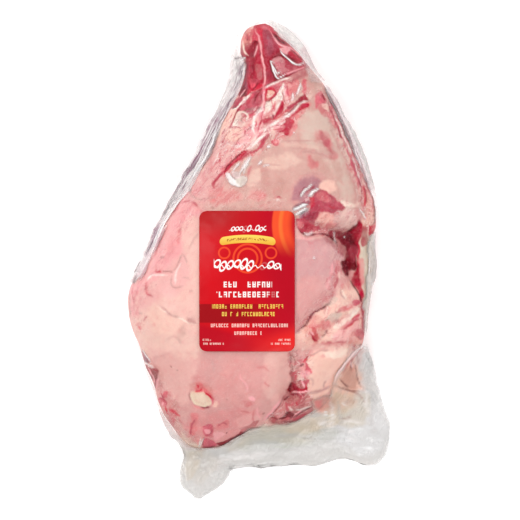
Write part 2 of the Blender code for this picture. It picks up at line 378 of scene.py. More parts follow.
def sheetMesh(name, grid, material):
    # a grid of points, columns to the right and rows upwards, facing up
    rows, columns = grid.shape[:2]
    index = np.arange(rows * columns).reshape(rows, columns)
    quads = np.stack([index[:-1, :-1], index[:-1, 1:], index[1:, 1:], index[1:, :-1]], axis=-1)
    mesh = bpy.data.meshes.new(name)
    mesh.from_pydata(grid.reshape(-1, 3) * mm, [], quads.reshape(-1, 4).tolist())
    return finishPiece(name, mesh, material)


def finishPiece(name, mesh, material):
    mesh.polygons.foreach_set("use_smooth", np.ones(len(mesh.polygons), dtype=bool))
    mesh.materials.append(material)
    mesh.update()
    piece = bpy.data.objects.new(name, mesh)
    bpy.context.scene.collection.objects.link(piece)
    return piece


def colourAttribute(piece, name, values):
    # one linear colour for each point; the two poles take the mean of the ring beside them
    layer = piece.data.attributes.new(name, "FLOAT_COLOR", "POINT")
    flat = withPoles(piece, values.reshape(-1, values.shape[-1]), values)
    layer.data.foreach_set("color", np.c_[flat, np.ones(len(flat))].astype(np.float32).ravel())


def numberAttribute(piece, name, values):
    layer = piece.data.attributes.new(name, "FLOAT", "POINT")
    flat = withPoles(piece, values.reshape(-1, 1), values[..., None])
    layer.data.foreach_set("value", flat.astype(np.float32).ravel())


def withPoles(piece, flat, values):
    if len(flat) == len(piece.data.vertices):
        return flat
    return np.vstack([flat, values[0].mean(axis=0), values[-1].mean(axis=0)])


# ---- finishes

class Shade:
    # one socket of a finish; arithmetic on it adds Math nodes
    def __init__(self, finish, socket):
        self.finish = finish
        self.socket = socket

    def math(self, operation, first, second):
        return self.finish.add("ShaderNodeMath", {"operation": operation}, {0: first, 1: second})

    def __add__(self, other):
        return self.math("ADD", self, other)

    def __radd__(self, other):
        return self.math("ADD", other, self)

    def __sub__(self, other):
        return self.math("SUBTRACT", self, other)

    def __rsub__(self, other):
        return self.math("SUBTRACT", other, self)

    def __mul__(self, other):
        return self.math("MULTIPLY", self, other)

    def __rmul__(self, other):
        return self.math("MULTIPLY", other, self)

    def __truediv__(self, other):
        return self.math("DIVIDE", self, other)

    def __pow__(self, other):
        return self.math("POWER", self, other)


class Finish:
    # a material built node by node
    def __init__(self, name):
        self.material = bpy.data.materials.new(name)
        self.material.use_nodes = True
        self.tree = self.material.node_tree
        self.tree.nodes.clear()

    def add(self, kind, settings=None, inputs=None, output=0):
        node = self.tree.nodes.new(kind)
        for name, value in (settings or {}).items():
            setattr(node, name, value)
        for name, value in (inputs or {}).items():
            if isinstance(value, Shade):
                self.tree.links.new(value.socket, node.inputs[name])
            else:
                node.inputs[name].default_value = value
        return None if output is None else Shade(self, node.outputs[output])

    def noise(self, place, scale, detail=3, rough=0.5, distortion=0):
        return self.add("ShaderNodeTexNoise", {"noise_dimensions": "3D"},
                        {"Vector": place, "Scale": scale, "Detail": detail, "Roughness": rough,
                         "Distortion": distortion})

    def band(self, value, low, high, bottom=0, top=1):
        return self.add("ShaderNodeMapRange", {"interpolation_type": "SMOOTHSTEP"},
                        {"Value": value, "From Min": low, "From Max": high,
                         "To Min": bottom, "To Max": top})

    def mix(self, factor, first, second, blend="MIX"):
        return self.add("ShaderNodeMix", {"data_type": "RGBA", "blend_type": blend},
                        {0: factor, 6: first, 7: second}, output=2)

    def attribute(self, name, isColour=False):
        return self.add("ShaderNodeAttribute", {"attribute_name": name}, output=0 if isColour else 2)

    def stretched(self, place, stretch, turn):
        # draws a pattern out along a direction that is turned from +X
        return self.add("ShaderNodeMapping", {"vector_type": "TEXTURE"},
                        {"Vector": place, "Rotation": (0, 0, np.radians(turn)), "Scale": (stretch, 1, 1)})

    def line(self, value, level, width):
        # a thin line where the value crosses the level
        away = ((value - level) ** 2) ** 0.5
        return self.band(away, width, width * 0.25)

    def bump(self, height, strength, distance):
        return self.add("ShaderNodeBump", {},
                        {"Height": height, "Strength": strength, "Distance": distance})

    def surface(self, inputs):
        shader = self.add("ShaderNodeBsdfPrincipled", {}, inputs)
        self.add("ShaderNodeOutputMaterial", {}, {"Surface": shader}, output=None)
        return self.material


def colour(name):
    return (*linear(*palette[name]), 1)


# ---- the leg of lamb

lambPatches = [
    ("flank", "rosePale", 0.9, 9, 0, [(-50, 50.5), (-52.5, -84), (-87, -86), (-114, -70),
        (-122.5, -42.5), (-116, -19), (-99, 9), (-82.5, 38.5), (-68.5, 55.5)]),
    ("flank top", "roseWarm", 0.8, 7, 0, [(-54.5, 74), (-49, 41.5), (-63.5, 23), (-80.5, -2.5),
        (-101, -23.5), (-117.5, -33), (-119.5, -19), (-91.5, 23), (-71, 60)]),
    ("flank low", "peach", 0.9, 7, 0.3, [(-95.5, -42.5), (-71, -52.5), (-69.5, -62), (-76.5, -69.5),
        (-89.5, -69.5), (-101, -58)]),
    ("flank foot", "beigePink", 0.6, 8, 0, [(-114, -63.5), (-91.5, -71), (-54.5, -71), (-52.5, -89.5),
        (-87, -95.5), (-104.5, -86)]),
    ("upper back", "pinkBack", 0.85, 8, 0, [(-28.5, 137), (-10, 141), (3.5, 111), (-22, 88),
        (-34, 55.5), (-54.5, 48), (-67.5, 60), (-50, 92.5)]),
    ("upper leg", "beige", 0.9, 9, 0, [(29.5, 165), (55.5, 169), (80.5, 125), (96.5, 64.5), (96.5, 32),
        (66.5, 25.5), (38.5, 32), (-3.5, 41.5), (-31, 48), (-17, 88), (3.5, 111), (29.5, 137)]),
    ("upper leg pink", "legPink", 0.6, 10, 0, [(-17, 83), (29.5, 88), (31, 44), (-50, 44),
        (-40.5, 64.5)]),
    ("upper leg grey", "greyBeige", 0.8, 9, 0, [(38.5, 137), (66.5, 131.5), (87, 88), (94.5, 32),
        (80.5, 31), (74, 64.5), (62, 92.5), (43, 111)]),
    ("rump", "rumpPink", 0.95, 5, 0, [(-87, -86), (27.5, -85), (30, -101), (28.5, -116.5),
        (21, -132.5), (9, -147.5), (-12.5, -160.5), (-40.5, -175.5), (-63.5, -169.5), (-82.5, -154),
        (-94.5, -129), (-95.5, -107.5)]),
    ("rump flush", "rumpRose", 0.75, 12, 0, [(-50, -93.5), (6, -97), (3.5, -130.5), (-10, -156.5),
        (-40.5, -169.5), (-62, -158.5), (-58, -130.5)]),
    ("rump right", "pinkBeige", 0.8, 6, 0, [(7, -86), (27.5, -86), (29.5, -103), (25.5, -121.5),
        (12.5, -130.5), (3.5, -116.5)]),
    ("rump left", "pinkBeige", 0.6, 8, 0, [(-91.5, -89.5), (-59, -89.5), (-65.5, -130.5),
        (-80.5, -127), (-91.5, -112)]),
    ("ragged meat", "raggedPink", 0.9, 4, 0, [(27.5, -85), (50, -84), (48, -107.5), (51.5, -126),
        (66.5, -127), (62, -134.5), (48, -143), (35, -149.5), (23.5, -153), (9, -150), (23, -130.5),
        (30, -112)]),
    ("ridged fat", "peach", 0.85, 4, 0, [(67.5, -36.5), (80.5, -23), (87, -22), (96.5, -39.5),
        (98, -70), (92.5, -80.5), (62, -83), (35, -80.5), (33, -69.5), (46, -56.5)]),
    ("ridged fat foot", "pinkBeige", 0.6, 6, 0, [(33, -69.5), (48, -79.5), (85, -73), (90.5, -79.5),
        (62, -86), (33, -86)]),
    ("heel", "peach", 0.95, 4, 1.0, [(50, -86), (66.5, -83), (90.5, -81.5), (84, -91.5), (76.5, -103),
        (71, -116), (63, -125), (51.5, -129), (46, -119.5), (46, -103)]),
    ("heel crest", "creamPale", 0.9, 5, 0.6, [(59, -86), (81.5, -83), (79.5, -90.5), (66.5, -91.5)]),
    ("inner round", "pinkRound", 0.95, 3, 0, [(-39.5, 18), (44, 19), (64.5, 18), (74, 8), (79.5, 1.5),
        (75, -10), (71, -26.5), (66.5, -36.5), (55.5, -47), (46, -56.5), (38.5, -63.5), (29.5, -69.5),
        (-39.5, -65.5)]),
    ("inner round low", "pinkRoundLow", 0.6, 8, 0, [(34, -21), (66.5, -19), (64.5, -37.5), (46, -54.5),
        (34, -63.5)]),
    ("right rim", "fatYellow", 0.9, 3, 0, [(93.5, 25.5), (104.5, 25.5), (103.5, -2.5), (103, -37.5),
        (98, -39.5), (95.5, -23.5), (93.5, 1.5)]),
    ("right rim top", "cream", 0.8, 3, 0, [(100, 66.5), (106.5, 55.5), (107.5, 35), (102, 23.5),
        (96.5, 33), (100, 50.5)]),
    ("flank beige", "flankBeige", 0.6, 9, 0, [(-73, 25.5), (-52.5, 31), (-52.5, -82.5), (-84, -84),
        (-108.5, -71), (-110, -54.5), (-91.5, -37.5), (-75, -30), (-63.5, -10)]),
    ("flank low left", "flankBeige", 0.5, 6, 0, [(-117.5, -54.5), (-108.5, -56.5), (-101, -79.5),
        (-108.5, -84)]),
    # painted highlights between the upper leg's folds; the painted shades of the same folds follow
    ("upper highlight", "highlightBeige", 0.6, 6, 0.2, [(7, 94.5), (31, 96.5), (38.5, 90.5), (23.5, 84),
        (7, 85)]),
    ("upper highlight two", "highlightBeige", 0.35, 3, 0.2, [(23, 107.5), (44, 106.5), (60, 104.5),
        (59, 101), (38.5, 103), (22, 103.5)]),
    ("upper highlight three", "highlightBeige", 0.6, 3.5, 0.2, [(-7, 81.5), (1.5, 82.5), (0.5, 70), (-6, 66.5),
        (-10.5, 70)]),
    ("upper shade", "shadeRose", 0.55, 4, -0.2, [(2.5, 83), (9, 81.5), (9, 68.5), (3.5, 64.5),
        (1.5, 74)]),
    ("upper shade two", "shadeRose", 0.6, 3.5, -0.2, [(17, 72), (23, 74), (23.5, 63), (19, 57),
        (15.5, 63)]),
    ("upper shade three", "shadeRose", 0.4, 5, 0, [(9, 70), (16.5, 66.5), (16.5, 59), (7, 59)]),
    ("upper rose", "blush", 0.4, 5, 0, [(-6, 63), (3.5, 64.5), (9, 59), (3.5, 54.5), (-8, 55.5)]),
    ("upper dusk", "shadeRose", 0.5, 4, 0, [(70, 89), (76.5, 87), (77.5, 74), (72, 72), (69.5, 81.5)]),
    ("behind rose", "blush", 0.35, 6, 0, [(-47, 64.5), (-21, 64.5), (-17, 55.5), (-43, 51.5)]),
    ("shank", "shankRed", 0.95, 2, 0, [(-3.5, 219), (7, 220), (13.5, 216), (22, 206), (38.5, 191),
        (49, 180), (42.5, 177), (29.5, 171.5), (16.5, 166), (-6, 155), (-19, 148.5), (-14.5, 167),
        (-11.5, 183.5), (-10.5, 189.5), (-8, 198.5), (-7, 209.5)]),
    ("shank fat", "shankFat", 0.95, 2, 1.0, [(-9, 214.5), (-5, 212.5), (-6, 206), (-8, 198.5),
        (-10.5, 191), (-14.5, 193), (-17, 200.5), (-14.5, 209)]),
    ("shank fat flush", "pinkMeat", 0.7, 2, 0, [(-13.5, 208), (-10, 209), (-9, 205), (-12.5, 204)]),
    ("shank fat foot", "blush", 0.8, 2.5, 0, [(-11.5, 198.5), (-8, 200.5), (-9, 193), (-11.5, 190),
        (-14.5, 193)]),
    ("shank brow", "pinkMeat", 0.6, 2.5, 0, [(-7, 213.5), (-1.5, 213.5), (-0.5, 204), (-6, 203)]),
    ("shank top", "red", 0.85, 2, 0, [(-4, 216), (3.5, 220), (10, 217), (10.5, 213.5), (3.5, 210.5),
        (-1.5, 213.5)]),
    ("shank top glow", "pinkMeat", 0.8, 2, 0, [(3.5, 216), (7, 217), (11.5, 212.5), (11.5, 209),
        (7, 212.5)]),
    ("shank hollow", "maroon", 0.97, 1.5, -1.2, [(-5, 203), (-0.5, 201.5), (-1.5, 197.5), (-2.5, 193),
        (-5, 188.5), (-10, 187.5), (-10.5, 190), (-8, 197.5)]),
    ("shank face", "mauveDeep", 0.95, 2, 0.8, [(4, 212.5), (10, 212.5), (15.5, 206), (19, 197.5),
        (18, 191), (12.5, 187.5), (7, 188.5), (3.5, 198.5)]),
    ("shank face light", "mauve", 0.5, 4, 0, [(7, 206), (12.5, 204), (14.5, 193), (9, 191)]),
    ("shank face side", "red", 0.75, 2, 0, [(1.5, 210.5), (4, 209.5), (5, 196.5), (7, 187.5),
        (3.5, 189.5), (2.5, 200.5)]),
    ("shank face foot", "deepRed", 0.75, 2, 0, [(12.5, 188.5), (18, 195), (21, 191), (20, 187.5),
        (13.5, 185.5)]),
    ("shank flesh", "red", 0.9, 2, 0, [(-9, 186.5), (3.5, 187.5), (5, 167), (2.5, 159.5), (-6, 156.5),
        (-9, 163), (-10, 176)]),
    ("shank flesh deep", "deepRed", 0.85, 2, 0, [(-5, 183.5), (-2.5, 183.5), (-3.5, 176), (-4, 170.5),
        (-8, 170.5), (-7, 178)]),
    ("shank flesh light", "blush", 0.85, 2, 0, [(-1.5, 180), (2.5, 181), (3.5, 169), (-0.5, 167),
        (-2.5, 174.5)]),
    ("shank point", "pinkMeat", 0.7, 2, 0, [(-8, 168), (-0.5, 166), (-4, 159.5), (-7, 159.5)]),
    ("shank column", "muscleDeep", 0.8, 2, 0, [(6, 185.5), (10.5, 183.5), (15.5, 169), (9, 163),
        (6, 170.5)]),
    ("column shade", "deepRed", 0.8, 1.5, 0, [(5, 188.5), (10.5, 186.5), (11.5, 182), (8, 178),
        (6, 183.5)]),
    ("shank side", "greyPurple", 0.6, 2.5, -0.5, [(-10.5, 185.5), (-9, 174.5), (-9, 161.5),
        (-11.5, 153), (-17, 150), (-19, 156), (-15.5, 167), (-12.5, 178)]),
    ("shank side blood", "maroon", 0.9, 2, 0, [(-14.5, 161.5), (-10.5, 157.5), (-11.5, 152),
        (-16.5, 149.5), (-18, 153)]),
    ("tendon pocket", "palePink", 0.9, 2, 0.4, [(12.5, 184.5), (17, 187.5), (23.5, 185.5), (32, 180),
        (35, 177), (27.5, 174.5), (21, 171.5), (17, 169.5), (14.5, 176)]),
    ("tendon pocket flesh", "pinkMeat", 0.85, 2.5, 0, [(24.5, 185.5), (30, 182.5), (34, 179),
        (32, 176), (26.5, 176), (24.5, 180)]),
    ("strip pocket pale", "palePink", 0.85, 1.5, 0, [(20, 196), (28.5, 196.5), (30, 193),
        (26.5, 189.5), (22, 191)]),
    ("strip pocket", "crimson", 0.9, 1.2, 0, [(27.5, 192), (31, 193), (38.5, 186.5), (38.5, 182.5),
        (33, 183.5), (28.5, 187.5)]),
    ("leg top beige", "beige", 0.75, 4, 0, [(38.5, 169), (50.5, 175.5), (59, 157.5), (55.5, 139),
        (47, 137), (42.5, 154), (36.5, 159.5)]),
    ("seam halo", "blush", 0.6, 6, 0, [(45, 146.5), (48, 141), (38.5, 129.5), (34, 120.5), (27.5, 112),
        (18, 114), (20, 126), (35, 139)]),
    ("left seam glow", "blush", 0.8, 4, 0, [(-10, 102), (-4, 96.5), (-14.5, 89), (-24.5, 82.5),
        (-29.5, 77.5), (-35, 80.5), (-21, 98)]),
    ("left seam end", "raggedRose", 0.85, 2.5, -0.3, [(-31, 81.5), (-35, 76.5), (-38.5, 72),
        (-40.5, 65.5), (-43, 70), (-39.5, 76), (-35, 80.5)]),
    ("left seam grey", "greyBeige", 0.6, 3, 0, [(-24.5, 87), (-16.5, 91.5), (-8, 94.5), (-8, 83),
        (-17, 76), (-25.5, 81.5)]),
    ("neck rose", "neckRose", 0.85, 4, 0, [(-11.5, 151), (3.5, 159.5), (23.5, 168), (24.5, 157.5),
        (16.5, 146.5), (5, 137), (-8, 133.5), (-17, 137), (-21, 144.5)]),
    ("neck wine", "muscleDeep", 0.9, 1.8, 0, [(-19, 151), (-14.5, 149.5), (-18, 143), (-23, 140),
        (-25.5, 140), (-22, 146.5)]),
    ("neck pink", "pinkMeat", 0.6, 3, 0, [(-10.5, 149.5), (-3.5, 154), (-2.5, 144.5), (-10, 142)]),
    ("neck mottle", "muscle", 0.8, 2.2, 0, [(-5, 152), (2.5, 156.5), (4, 148.5), (-1.5, 143),
        (-6, 143.5)]),
    ("neck dusk", "mauve", 0.7, 2.2, 0, [(-13.5, 137), (-9, 141), (-1.5, 142), (3.5, 141), (-1.5, 137),
        (-8, 136)]),
    ("neck pale", "peach", 0.85, 2.2, 0, [(-31, 136), (-21, 140), (-22, 133.5), (-25.5, 127),
        (-27.5, 121.5), (-34, 118.5), (-37.5, 111), (-39.5, 115)]),
    ("neck cream left", "fatWhite", 0.9, 2, 0.2, [(-19, 137), (-16.5, 136), (-16.5, 129.5),
        (-12.5, 126), (-17, 123), (-23.5, 123), (-21, 131.5)]),
    ("neck peach", "peach", 0.9, 2, 0, [(-29.5, 120.5), (-13.5, 120.5), (-13.5, 115), (-20, 110),
        (-30, 111)]),
    ("neck blush", "palePink", 0.8, 3, 0, [(-11.5, 124), (-2.5, 131.5), (3.5, 139), (5, 126),
        (-0.5, 113), (-11.5, 107.5), (-19, 105.5), (-17, 113)]),
    ("cream one", "fatWhite", 1.0, 1.4, 0.4, [(7, 145.5), (10.5, 148.5), (12.5, 144.5), (11, 137),
        (11.5, 132.5), (6, 131), (5, 139)]),
    ("cream two", "fatWhite", 1.0, 1.2, 0.4, [(12.5, 147.5), (16.5, 151), (20, 157.5), (23.5, 163),
        (23.5, 156.5), (21, 149.5), (16.5, 141), (12.5, 140)]),
    ("cream three", "fatWhite", 0.9, 1.2, 0.2, [(12.5, 136), (16, 136.5), (16.5, 132.5)]),
    ("knob ring", "red", 0.75, 1.2, 0, [(6, 156), (9, 158.5), (13.5, 159.5), (15.5, 156.5),
        (16.5, 153), (12.5, 148.5), (9, 146.5), (5, 148.5)]),
    ("knob", "cream", 0.9, 1.2, 0.3, [(8, 156), (11.5, 156.5), (14.5, 154), (11.5, 150), (8, 149.5)]),
    ("cuff rose", "blush", 0.8, 3, 0, [(25.5, 163), (36, 166), (36.5, 156), (31, 149.5),
        (26.5, 145.5)]),
    ("cuff side", "pinkMeat", 0.6, 2.5, 0, [(39.5, 165), (44, 167), (44, 156), (41.5, 153)]),
    ("wedge", "crimson", 0.97, 1.5, -0.5, [(20, 146.5), (23, 145.5), (23.5, 141), (21, 135.5),
        (15.5, 130.5), (9, 127), (4.5, 125.5), (5.5, 129.5), (12.5, 131), (17, 136), (19, 141)]),
    ("wedge light", "pinkMeat", 0.6, 1.8, 0, [(5, 129), (10.5, 129.5), (9, 127), (5, 126)]),
    ("seam upper", "muscleDeep", 0.95, 1.5, -0.6, [(38.5, 149.5), (40.5, 145.5), (36, 143.5),
        (30, 140), (26.5, 138.5), (27.5, 142), (33, 146)]),
    ("seam head", "deepRed", 1.0, 1.4, -0.6, [(37, 148.5), (39.5, 151), (42.5, 152.5), (45, 150),
        (46.5, 147), (41.5, 146.5), (37.5, 144.5), (34, 143)]),
    ("seam lower", "crimson", 0.97, 1.5, -0.6, [(41.5, 144.5), (46, 145), (46, 141), (40.5, 138),
        (35, 134.5), (29.5, 130.5), (24.5, 128), (28.5, 133), (35, 138), (38.5, 142)]),
    ("seam blot", "crimson", 1.0, 1.6, -0.8, [(23.5, 126), (27.5, 129), (31, 129), (33, 126),
        (31, 122.5), (28.5, 119.5), (28, 115), (24.5, 113.5), (23, 116.5), (18, 118), (23, 120),
        (24.5, 122.5)]),
    ("blot shade", "blush", 0.7, 3, 0, [(29.5, 121.5), (34, 126), (36, 121.5), (31, 115), (28.5, 112)]),
    ("seam band", "raggedRose", 0.9, 1.6, 0, [(9, 116.5), (10, 114), (6, 109.5), (3.5, 103.5),
        (-0.5, 100), (-8, 98), (-7, 100), (-0.5, 102.5), (1.5, 108.5), (4, 113)]),
    ("left seam", "crimson", 0.97, 1.5, -0.8, [(-11.5, 101), (-10, 99.5), (-15.5, 94), (-20, 89.5),
        (-25.5, 85), (-30, 80.5), (-32, 79.5), (-32, 82.5), (-26.5, 89), (-19, 96.5)]),
    ("seam spot", "blush", 0.8, 1.8, 0, [(11.5, 110), (19, 110), (18, 105.5), (12.5, 105.5)]),
    ("fat spot upper", "duskRose", 0.7, 6, 0, [(51.5, 114), (55.5, 117.5), (62, 118.5), (66.5, 113),
        (67.5, 105.5), (71, 100), (64.5, 101), (61, 107.5), (53.5, 109.5)]),
    ("fat spot upper deep", "muscle", 0.5, 4, 0, [(55.5, 115), (62, 116.5), (65.5, 106.5), (62, 104.5),
        (58, 111)]),
    ("fat spot mid", "duskRose", 0.7, 4, 0, [(44, 95.5), (48, 96.5), (50.5, 91.5), (55.5, 89),
        (55.5, 84), (49, 85), (45, 89.5)]),
    ("fat spot right", "duskRose", 0.5, 6, 0, [(66.5, 102), (74, 99), (72, 89.5), (67.5, 92.5)]),
    ("fat spot top", "neckRose", 0.8, 3, 0, [(54.5, 154), (60, 155), (63, 148.5), (61, 143.5),
        (56.5, 143), (52.5, 139), (52.5, 145.5)]),
    ("fat spot top low", "duskRose", 0.75, 4, 0, [(53.5, 144.5), (63, 141), (67.5, 136), (71, 129),
        (64.5, 131.5), (56.5, 137)]),
    ("fat knob", "peach", 0.85, 2, 0.3, [(59, 143.5), (63, 145.5), (65.5, 139), (62, 140)]),
    ("right band red", "mauveDeep", 0.65, 2.5, 0, [(85, 95.5), (88, 95.5), (92.5, 85), (95.5, 74),
        (94.5, 66.5), (91.5, 74), (88, 85)]),
    ("bubble rim", "bubbleRim", 0.7, 5, 0.3, [(29.5, 68.5), (38.5, 76.5), (51.5, 81.5), (61, 77.5),
        (57, 66.5), (46, 53.5), (35, 50), (28.5, 53.5)]),
    ("bubble", "bubble", 0.85, 4.5, 1.2, [(37.5, 73), (44, 76.5), (51.5, 77.5), (57, 74), (55.5, 66.5),
        (49, 59), (46, 52.5), (37.5, 53.5), (31, 55.5), (32, 64.5)]),
    ("bubble foot", "bubbleDark", 0.75, 2, 0, [(32, 49), (38.5, 52.5), (47, 53.5), (47, 50),
        (37.5, 46), (32, 45)]),
    ("bubble foot low", "mauve", 0.85, 2, 0, [(37.5, 40.5), (45, 46), (48, 42.5), (45, 36.5),
        (39.5, 36)]),
    ("open muscle", "muscle", 0.95, 2, -0.6, [(49, 58), (57, 64.5), (63, 62), (70, 57), (76, 52.5),
        (79.5, 48), (78.5, 44), (70, 43), (63, 44), (57, 43), (50.5, 40.5), (47, 42.5), (48, 50),
        (47, 53.5)]),
    ("open muscle left", "red", 0.75, 3, 0, [(47, 56.5), (51.5, 56.5), (51.5, 50), (48, 47)]),
    ("open muscle deep", "muscleDeep", 0.85, 3, 0, [(52.5, 51.5), (63, 52.5), (73, 50), (72, 45),
        (59, 45)]),
    ("open muscle light", "blush", 0.5, 3, 0, [(54.5, 61), (59, 62), (66.5, 56.5), (63, 53.5),
        (55.5, 55.5)]),
    ("open muscle low", "maroonPink", 0.9, 2, -0.4, [(46, 42.5), (55.5, 43), (54.5, 36.5), (50, 31),
        (42.5, 32), (40.5, 36.5)]),
    ("open muscle rag", "raggedRose", 0.9, 2, 0, [(34, 36.5), (41.5, 37.5), (51.5, 32), (57, 30),
        (55.5, 26.5), (46, 24.5), (36.5, 27.5)]),
    ("rag light", "blush", 0.8, 2, 0.2, [(36, 35), (41.5, 34), (41.5, 29.5), (36.5, 30)]),
    ("rag wine", "deepRed", 0.7, 2, 0, [(44, 33), (52.5, 31), (50, 27.5), (43, 28.5)]),
    ("fat cap", "peach", 0.85, 3, 0.6, [(57, 71), (63, 73), (69.5, 73), (71, 67.5), (69.5, 62),
        (63.5, 62), (58, 65.5)]),
    ("fat island", "fatRose", 0.9, 2.5, 0.8, [(54.5, 38.5), (59, 43), (66.5, 42.5), (71, 38.5),
        (70, 31), (64.5, 28.5), (59, 30), (55.5, 35)]),
    ("fat apron", "apronPink", 0.85, 3, 0.4, [(70, 42.5), (80.5, 46), (92.5, 48), (94.5, 38.5),
        (89, 31), (79.5, 27.5), (71, 29.5)]),
    ("fat band", "creamPale", 0.7, 2, 0, [(76.5, 54.5), (85, 51.5), (92.5, 53.5), (92.5, 50), (84, 48),
        (77.5, 50)]),
    ("gap shadow", "maroon", 0.9, 2.5, -1.5, [(63, 23.5), (70, 27.5), (80.5, 24.5), (87, 28.5),
        (92.5, 35), (95.5, 35), (95.5, 30), (90.5, 22), (87, 15.5), (82.5, 11.5), (76.5, 15.5),
        (72, 18), (64.5, 20)]),
    ("gap blood", "crimsonDark", 0.95, 2.0, 0, [(85, 24.5), (90.5, 29.5), (96.5, 34), (96.5, 27.5),
        (93.5, 18), (91.5, 10), (88, 14.5), (83, 18)]),
    ("cavity", "maroon", 0.9, 2.5, -2, [(81.5, 15.5), (87, 18), (90.5, 12.5), (90.5, 3.5), (90.5, -6),
        (87, -10.5), (80.5, -11.5), (77.5, -8), (79.5, -0.5), (80.5, 7)]),
    ("cavity floor", "maroon", 0.7, 2, 0, [(84, 10.5), (89, 10), (89, -6), (83, -8)]),
    ("cavity side", "crimson", 0.85, 2.5, 0, [(90.5, 15.5), (93.5, 12.5), (93.5, -10), (95.5, -23.5),
        (97, -37.5), (95.5, -38.5), (90.5, -27.5), (86, -20), (89.5, -10), (91.5, 1.5)]),
    ("rim flesh", "raggedPink", 0.8, 2, 0, [(96.5, 29.5), (101, 27.5), (101, 14.5), (95.5, 12.5),
        (94.5, 20)]),
    ("rim blood", "red", 0.9, 1.6, 0, [(102, 31), (104.5, 30), (108.5, 32), (107.5, 25.5), (103.5, 20),
        (102, 24.5)]),
    ("round side", "pinkSide", 0.7, 3, 0, [(72, -2.5), (77.5, -2.5), (76, -14.5), (72, -28.5),
        (67.5, -36), (69.5, -21)]),
    ("cavity dark", "maroonDeep", 0.9, 2, -0.6, [(76.5, 21), (85, 23.5), (86, 15.5), (80.5, 14.5),
        (76, 16.5)]),
    ("cavity dark low", "maroonDeep", 0.85, 2, -0.4, [(76.5, -1.5), (81.5, -2.5), (83, -12.5),
        (80.5, -15.5), (76.5, -8)]),
    ("cavity light", "neckRose", 0.5, 2.5, 0, [(84, 11.5), (90.5, 12.5), (91.5, 1.5), (87, -0.5)]),
    ("side light", "blush", 0.6, 2.5, 0, [(92.5, -2.5), (97, -0.5), (98, -21), (94.5, -23)]),
    ("ridge cream", "creamWarm", 0.1, 3, 0, [(78.5, -24.5), (85, -22), (92.5, -34), (87, -38.5),
        (74, -43), (69.5, -41.5), (76, -36)]),
    ("ridge dull", "greyBeige", 0.7, 2.5, 0, [(67.5, -34), (73, -35), (70, -40.5), (65.5, -43),
        (63, -41.5)]),
    ("ridge dull two", "greyBeige", 0.75, 3, 0, [(66.5, -50), (74, -49), (76.5, -51.5), (72, -58),
        (65.5, -58), (63, -54.5)]),
    ("ridge flush", "neckRose", 0.85, 1.5, -0.2, [(86.5, -39), (90.5, -37.5), (94.5, -37.5),
        (94.5, -41), (89.5, -43), (87, -41.5)]),
    ("ridge rose", "blush", 0.9, 2, -0.2, [(76, -44), (82.5, -43), (88, -41.5), (87, -45), (80.5, -48),
        (74, -49)]),
    ("ridge crest", "creamPale", 0.9, 2, 0.8, [(79.5, -53.5), (86, -46), (93.5, -44), (93.5, -48),
        (86, -54.5), (77.5, -62), (70, -64.5), (68.5, -62), (74, -58)]),
    ("ridge rose low", "blush", 0.85, 2.5, 0, [(56.5, -57), (63.5, -57), (65.5, -61), (62, -64.5),
        (56.5, -62)]),
    ("ridge rose left", "blush", 0.7, 2.5, 0, [(46, -61), (56.5, -60), (55.5, -63.5), (47, -64.5)]),
    ("ridge deep", "red", 0.7, 1.6, -0.2, [(49, -63), (52.5, -63), (54.5, -70), (54.5, -75),
        (50.5, -75), (49, -69.5)]),
    ("ridge light low", "palePink", 0.5, 3, 0, [(72, -66.5), (87, -61), (92.5, -58), (92.5, -65.5),
        (85, -75), (70, -75)]),
    ("side flesh", "neckRose", 0.7, 2.5, 0, [(90.5, -65.5), (96, -64.5), (97, -70), (95.5, -75),
        (89.5, -73)]),
    # painted shadow: a pink band of shade below the ridged fat
    ("ridge shadow band", "duskRose", 0.5, 2.5, 0, [(60, -76), (81.5, -75), (82.5, -78.5), (61, -79.5)]),
    ("ragged pale", "raggedDull", 0.8, 3, 0, [(27.5, -86), (35, -87), (40.5, -90.5), (38.5, -101),
        (40.5, -112), (31, -115), (28.5, -103)]),
    ("ragged cream", "creamPale", 0.6, 3, 0.3, [(37.5, -105.5), (42.5, -106.5), (41.5, -111),
        (36.5, -111)]),
    ("slit flesh", "pinkMeat", 0.9, 2.2, 0.3, [(40.5, -91.5), (45, -92.5), (47, -99), (50, -103),
        (47, -106.5), (41.5, -103.5), (38.5, -100)]),
    ("slit flesh glow", "palePink", 0.6, 2.5, 0, [(39.5, -103), (47, -103.5), (46, -108.5),
        (40.5, -107.5)]),
    ("ragged rose", "raggedRose", 0.85, 2, 0, [(41.5, -113), (47, -111), (45, -116.5), (46, -120.5),
        (43, -119.5)]),
    ("slit blood", "deepRed", 0.95, 1.8, -1.0, [(29.5, -114), (33, -114), (36.5, -116.5),
        (39.5, -119.5), (45, -118.5), (45, -121.5), (40.5, -123), (35, -123), (29.5, -123),
        (27.5, -119.5)]),
    ("slit blood light", "crimson", 0.8, 2, 0, [(37.5, -119.5), (44, -119.5), (43, -122.5),
        (38.5, -122.5)]),
    ("ragged base", "raggedPink", 0.7, 3, 0, [(28.5, -125), (41.5, -124), (50.5, -129.5), (50, -135.5),
        (41.5, -140), (31, -138), (24.5, -132.5)]),
    ("ragged gash", "maroonBrown", 0.95, 1.4, -1.2, [(19, -147.5), (23.5, -144.5), (27.5, -141.5),
        (31, -142), (33.5, -144.5), (30, -147.5), (27.5, -146), (23.5, -148)]),
    ("gash flesh", "raggedRose", 0.9, 1.8, -0.4, [(31, -148.5), (35, -146.5), (42.5, -142.5),
        (49, -137.5), (50, -141), (44, -145), (38.5, -148.5), (34, -150)]),
    ("ragged foot", "raggedBrown", 0.8, 2, -0.4, [(23.5, -150), (29.5, -150.5), (36, -150),
        (32, -153.5), (28.5, -155), (24.5, -153)]),
    ("notch top", "greyPurple", 0.6, 3, 0, [(-109.5, -84), (-103.5, -87), (-100, -95.5), (-104.5, -97),
        (-108.5, -91.5)]),
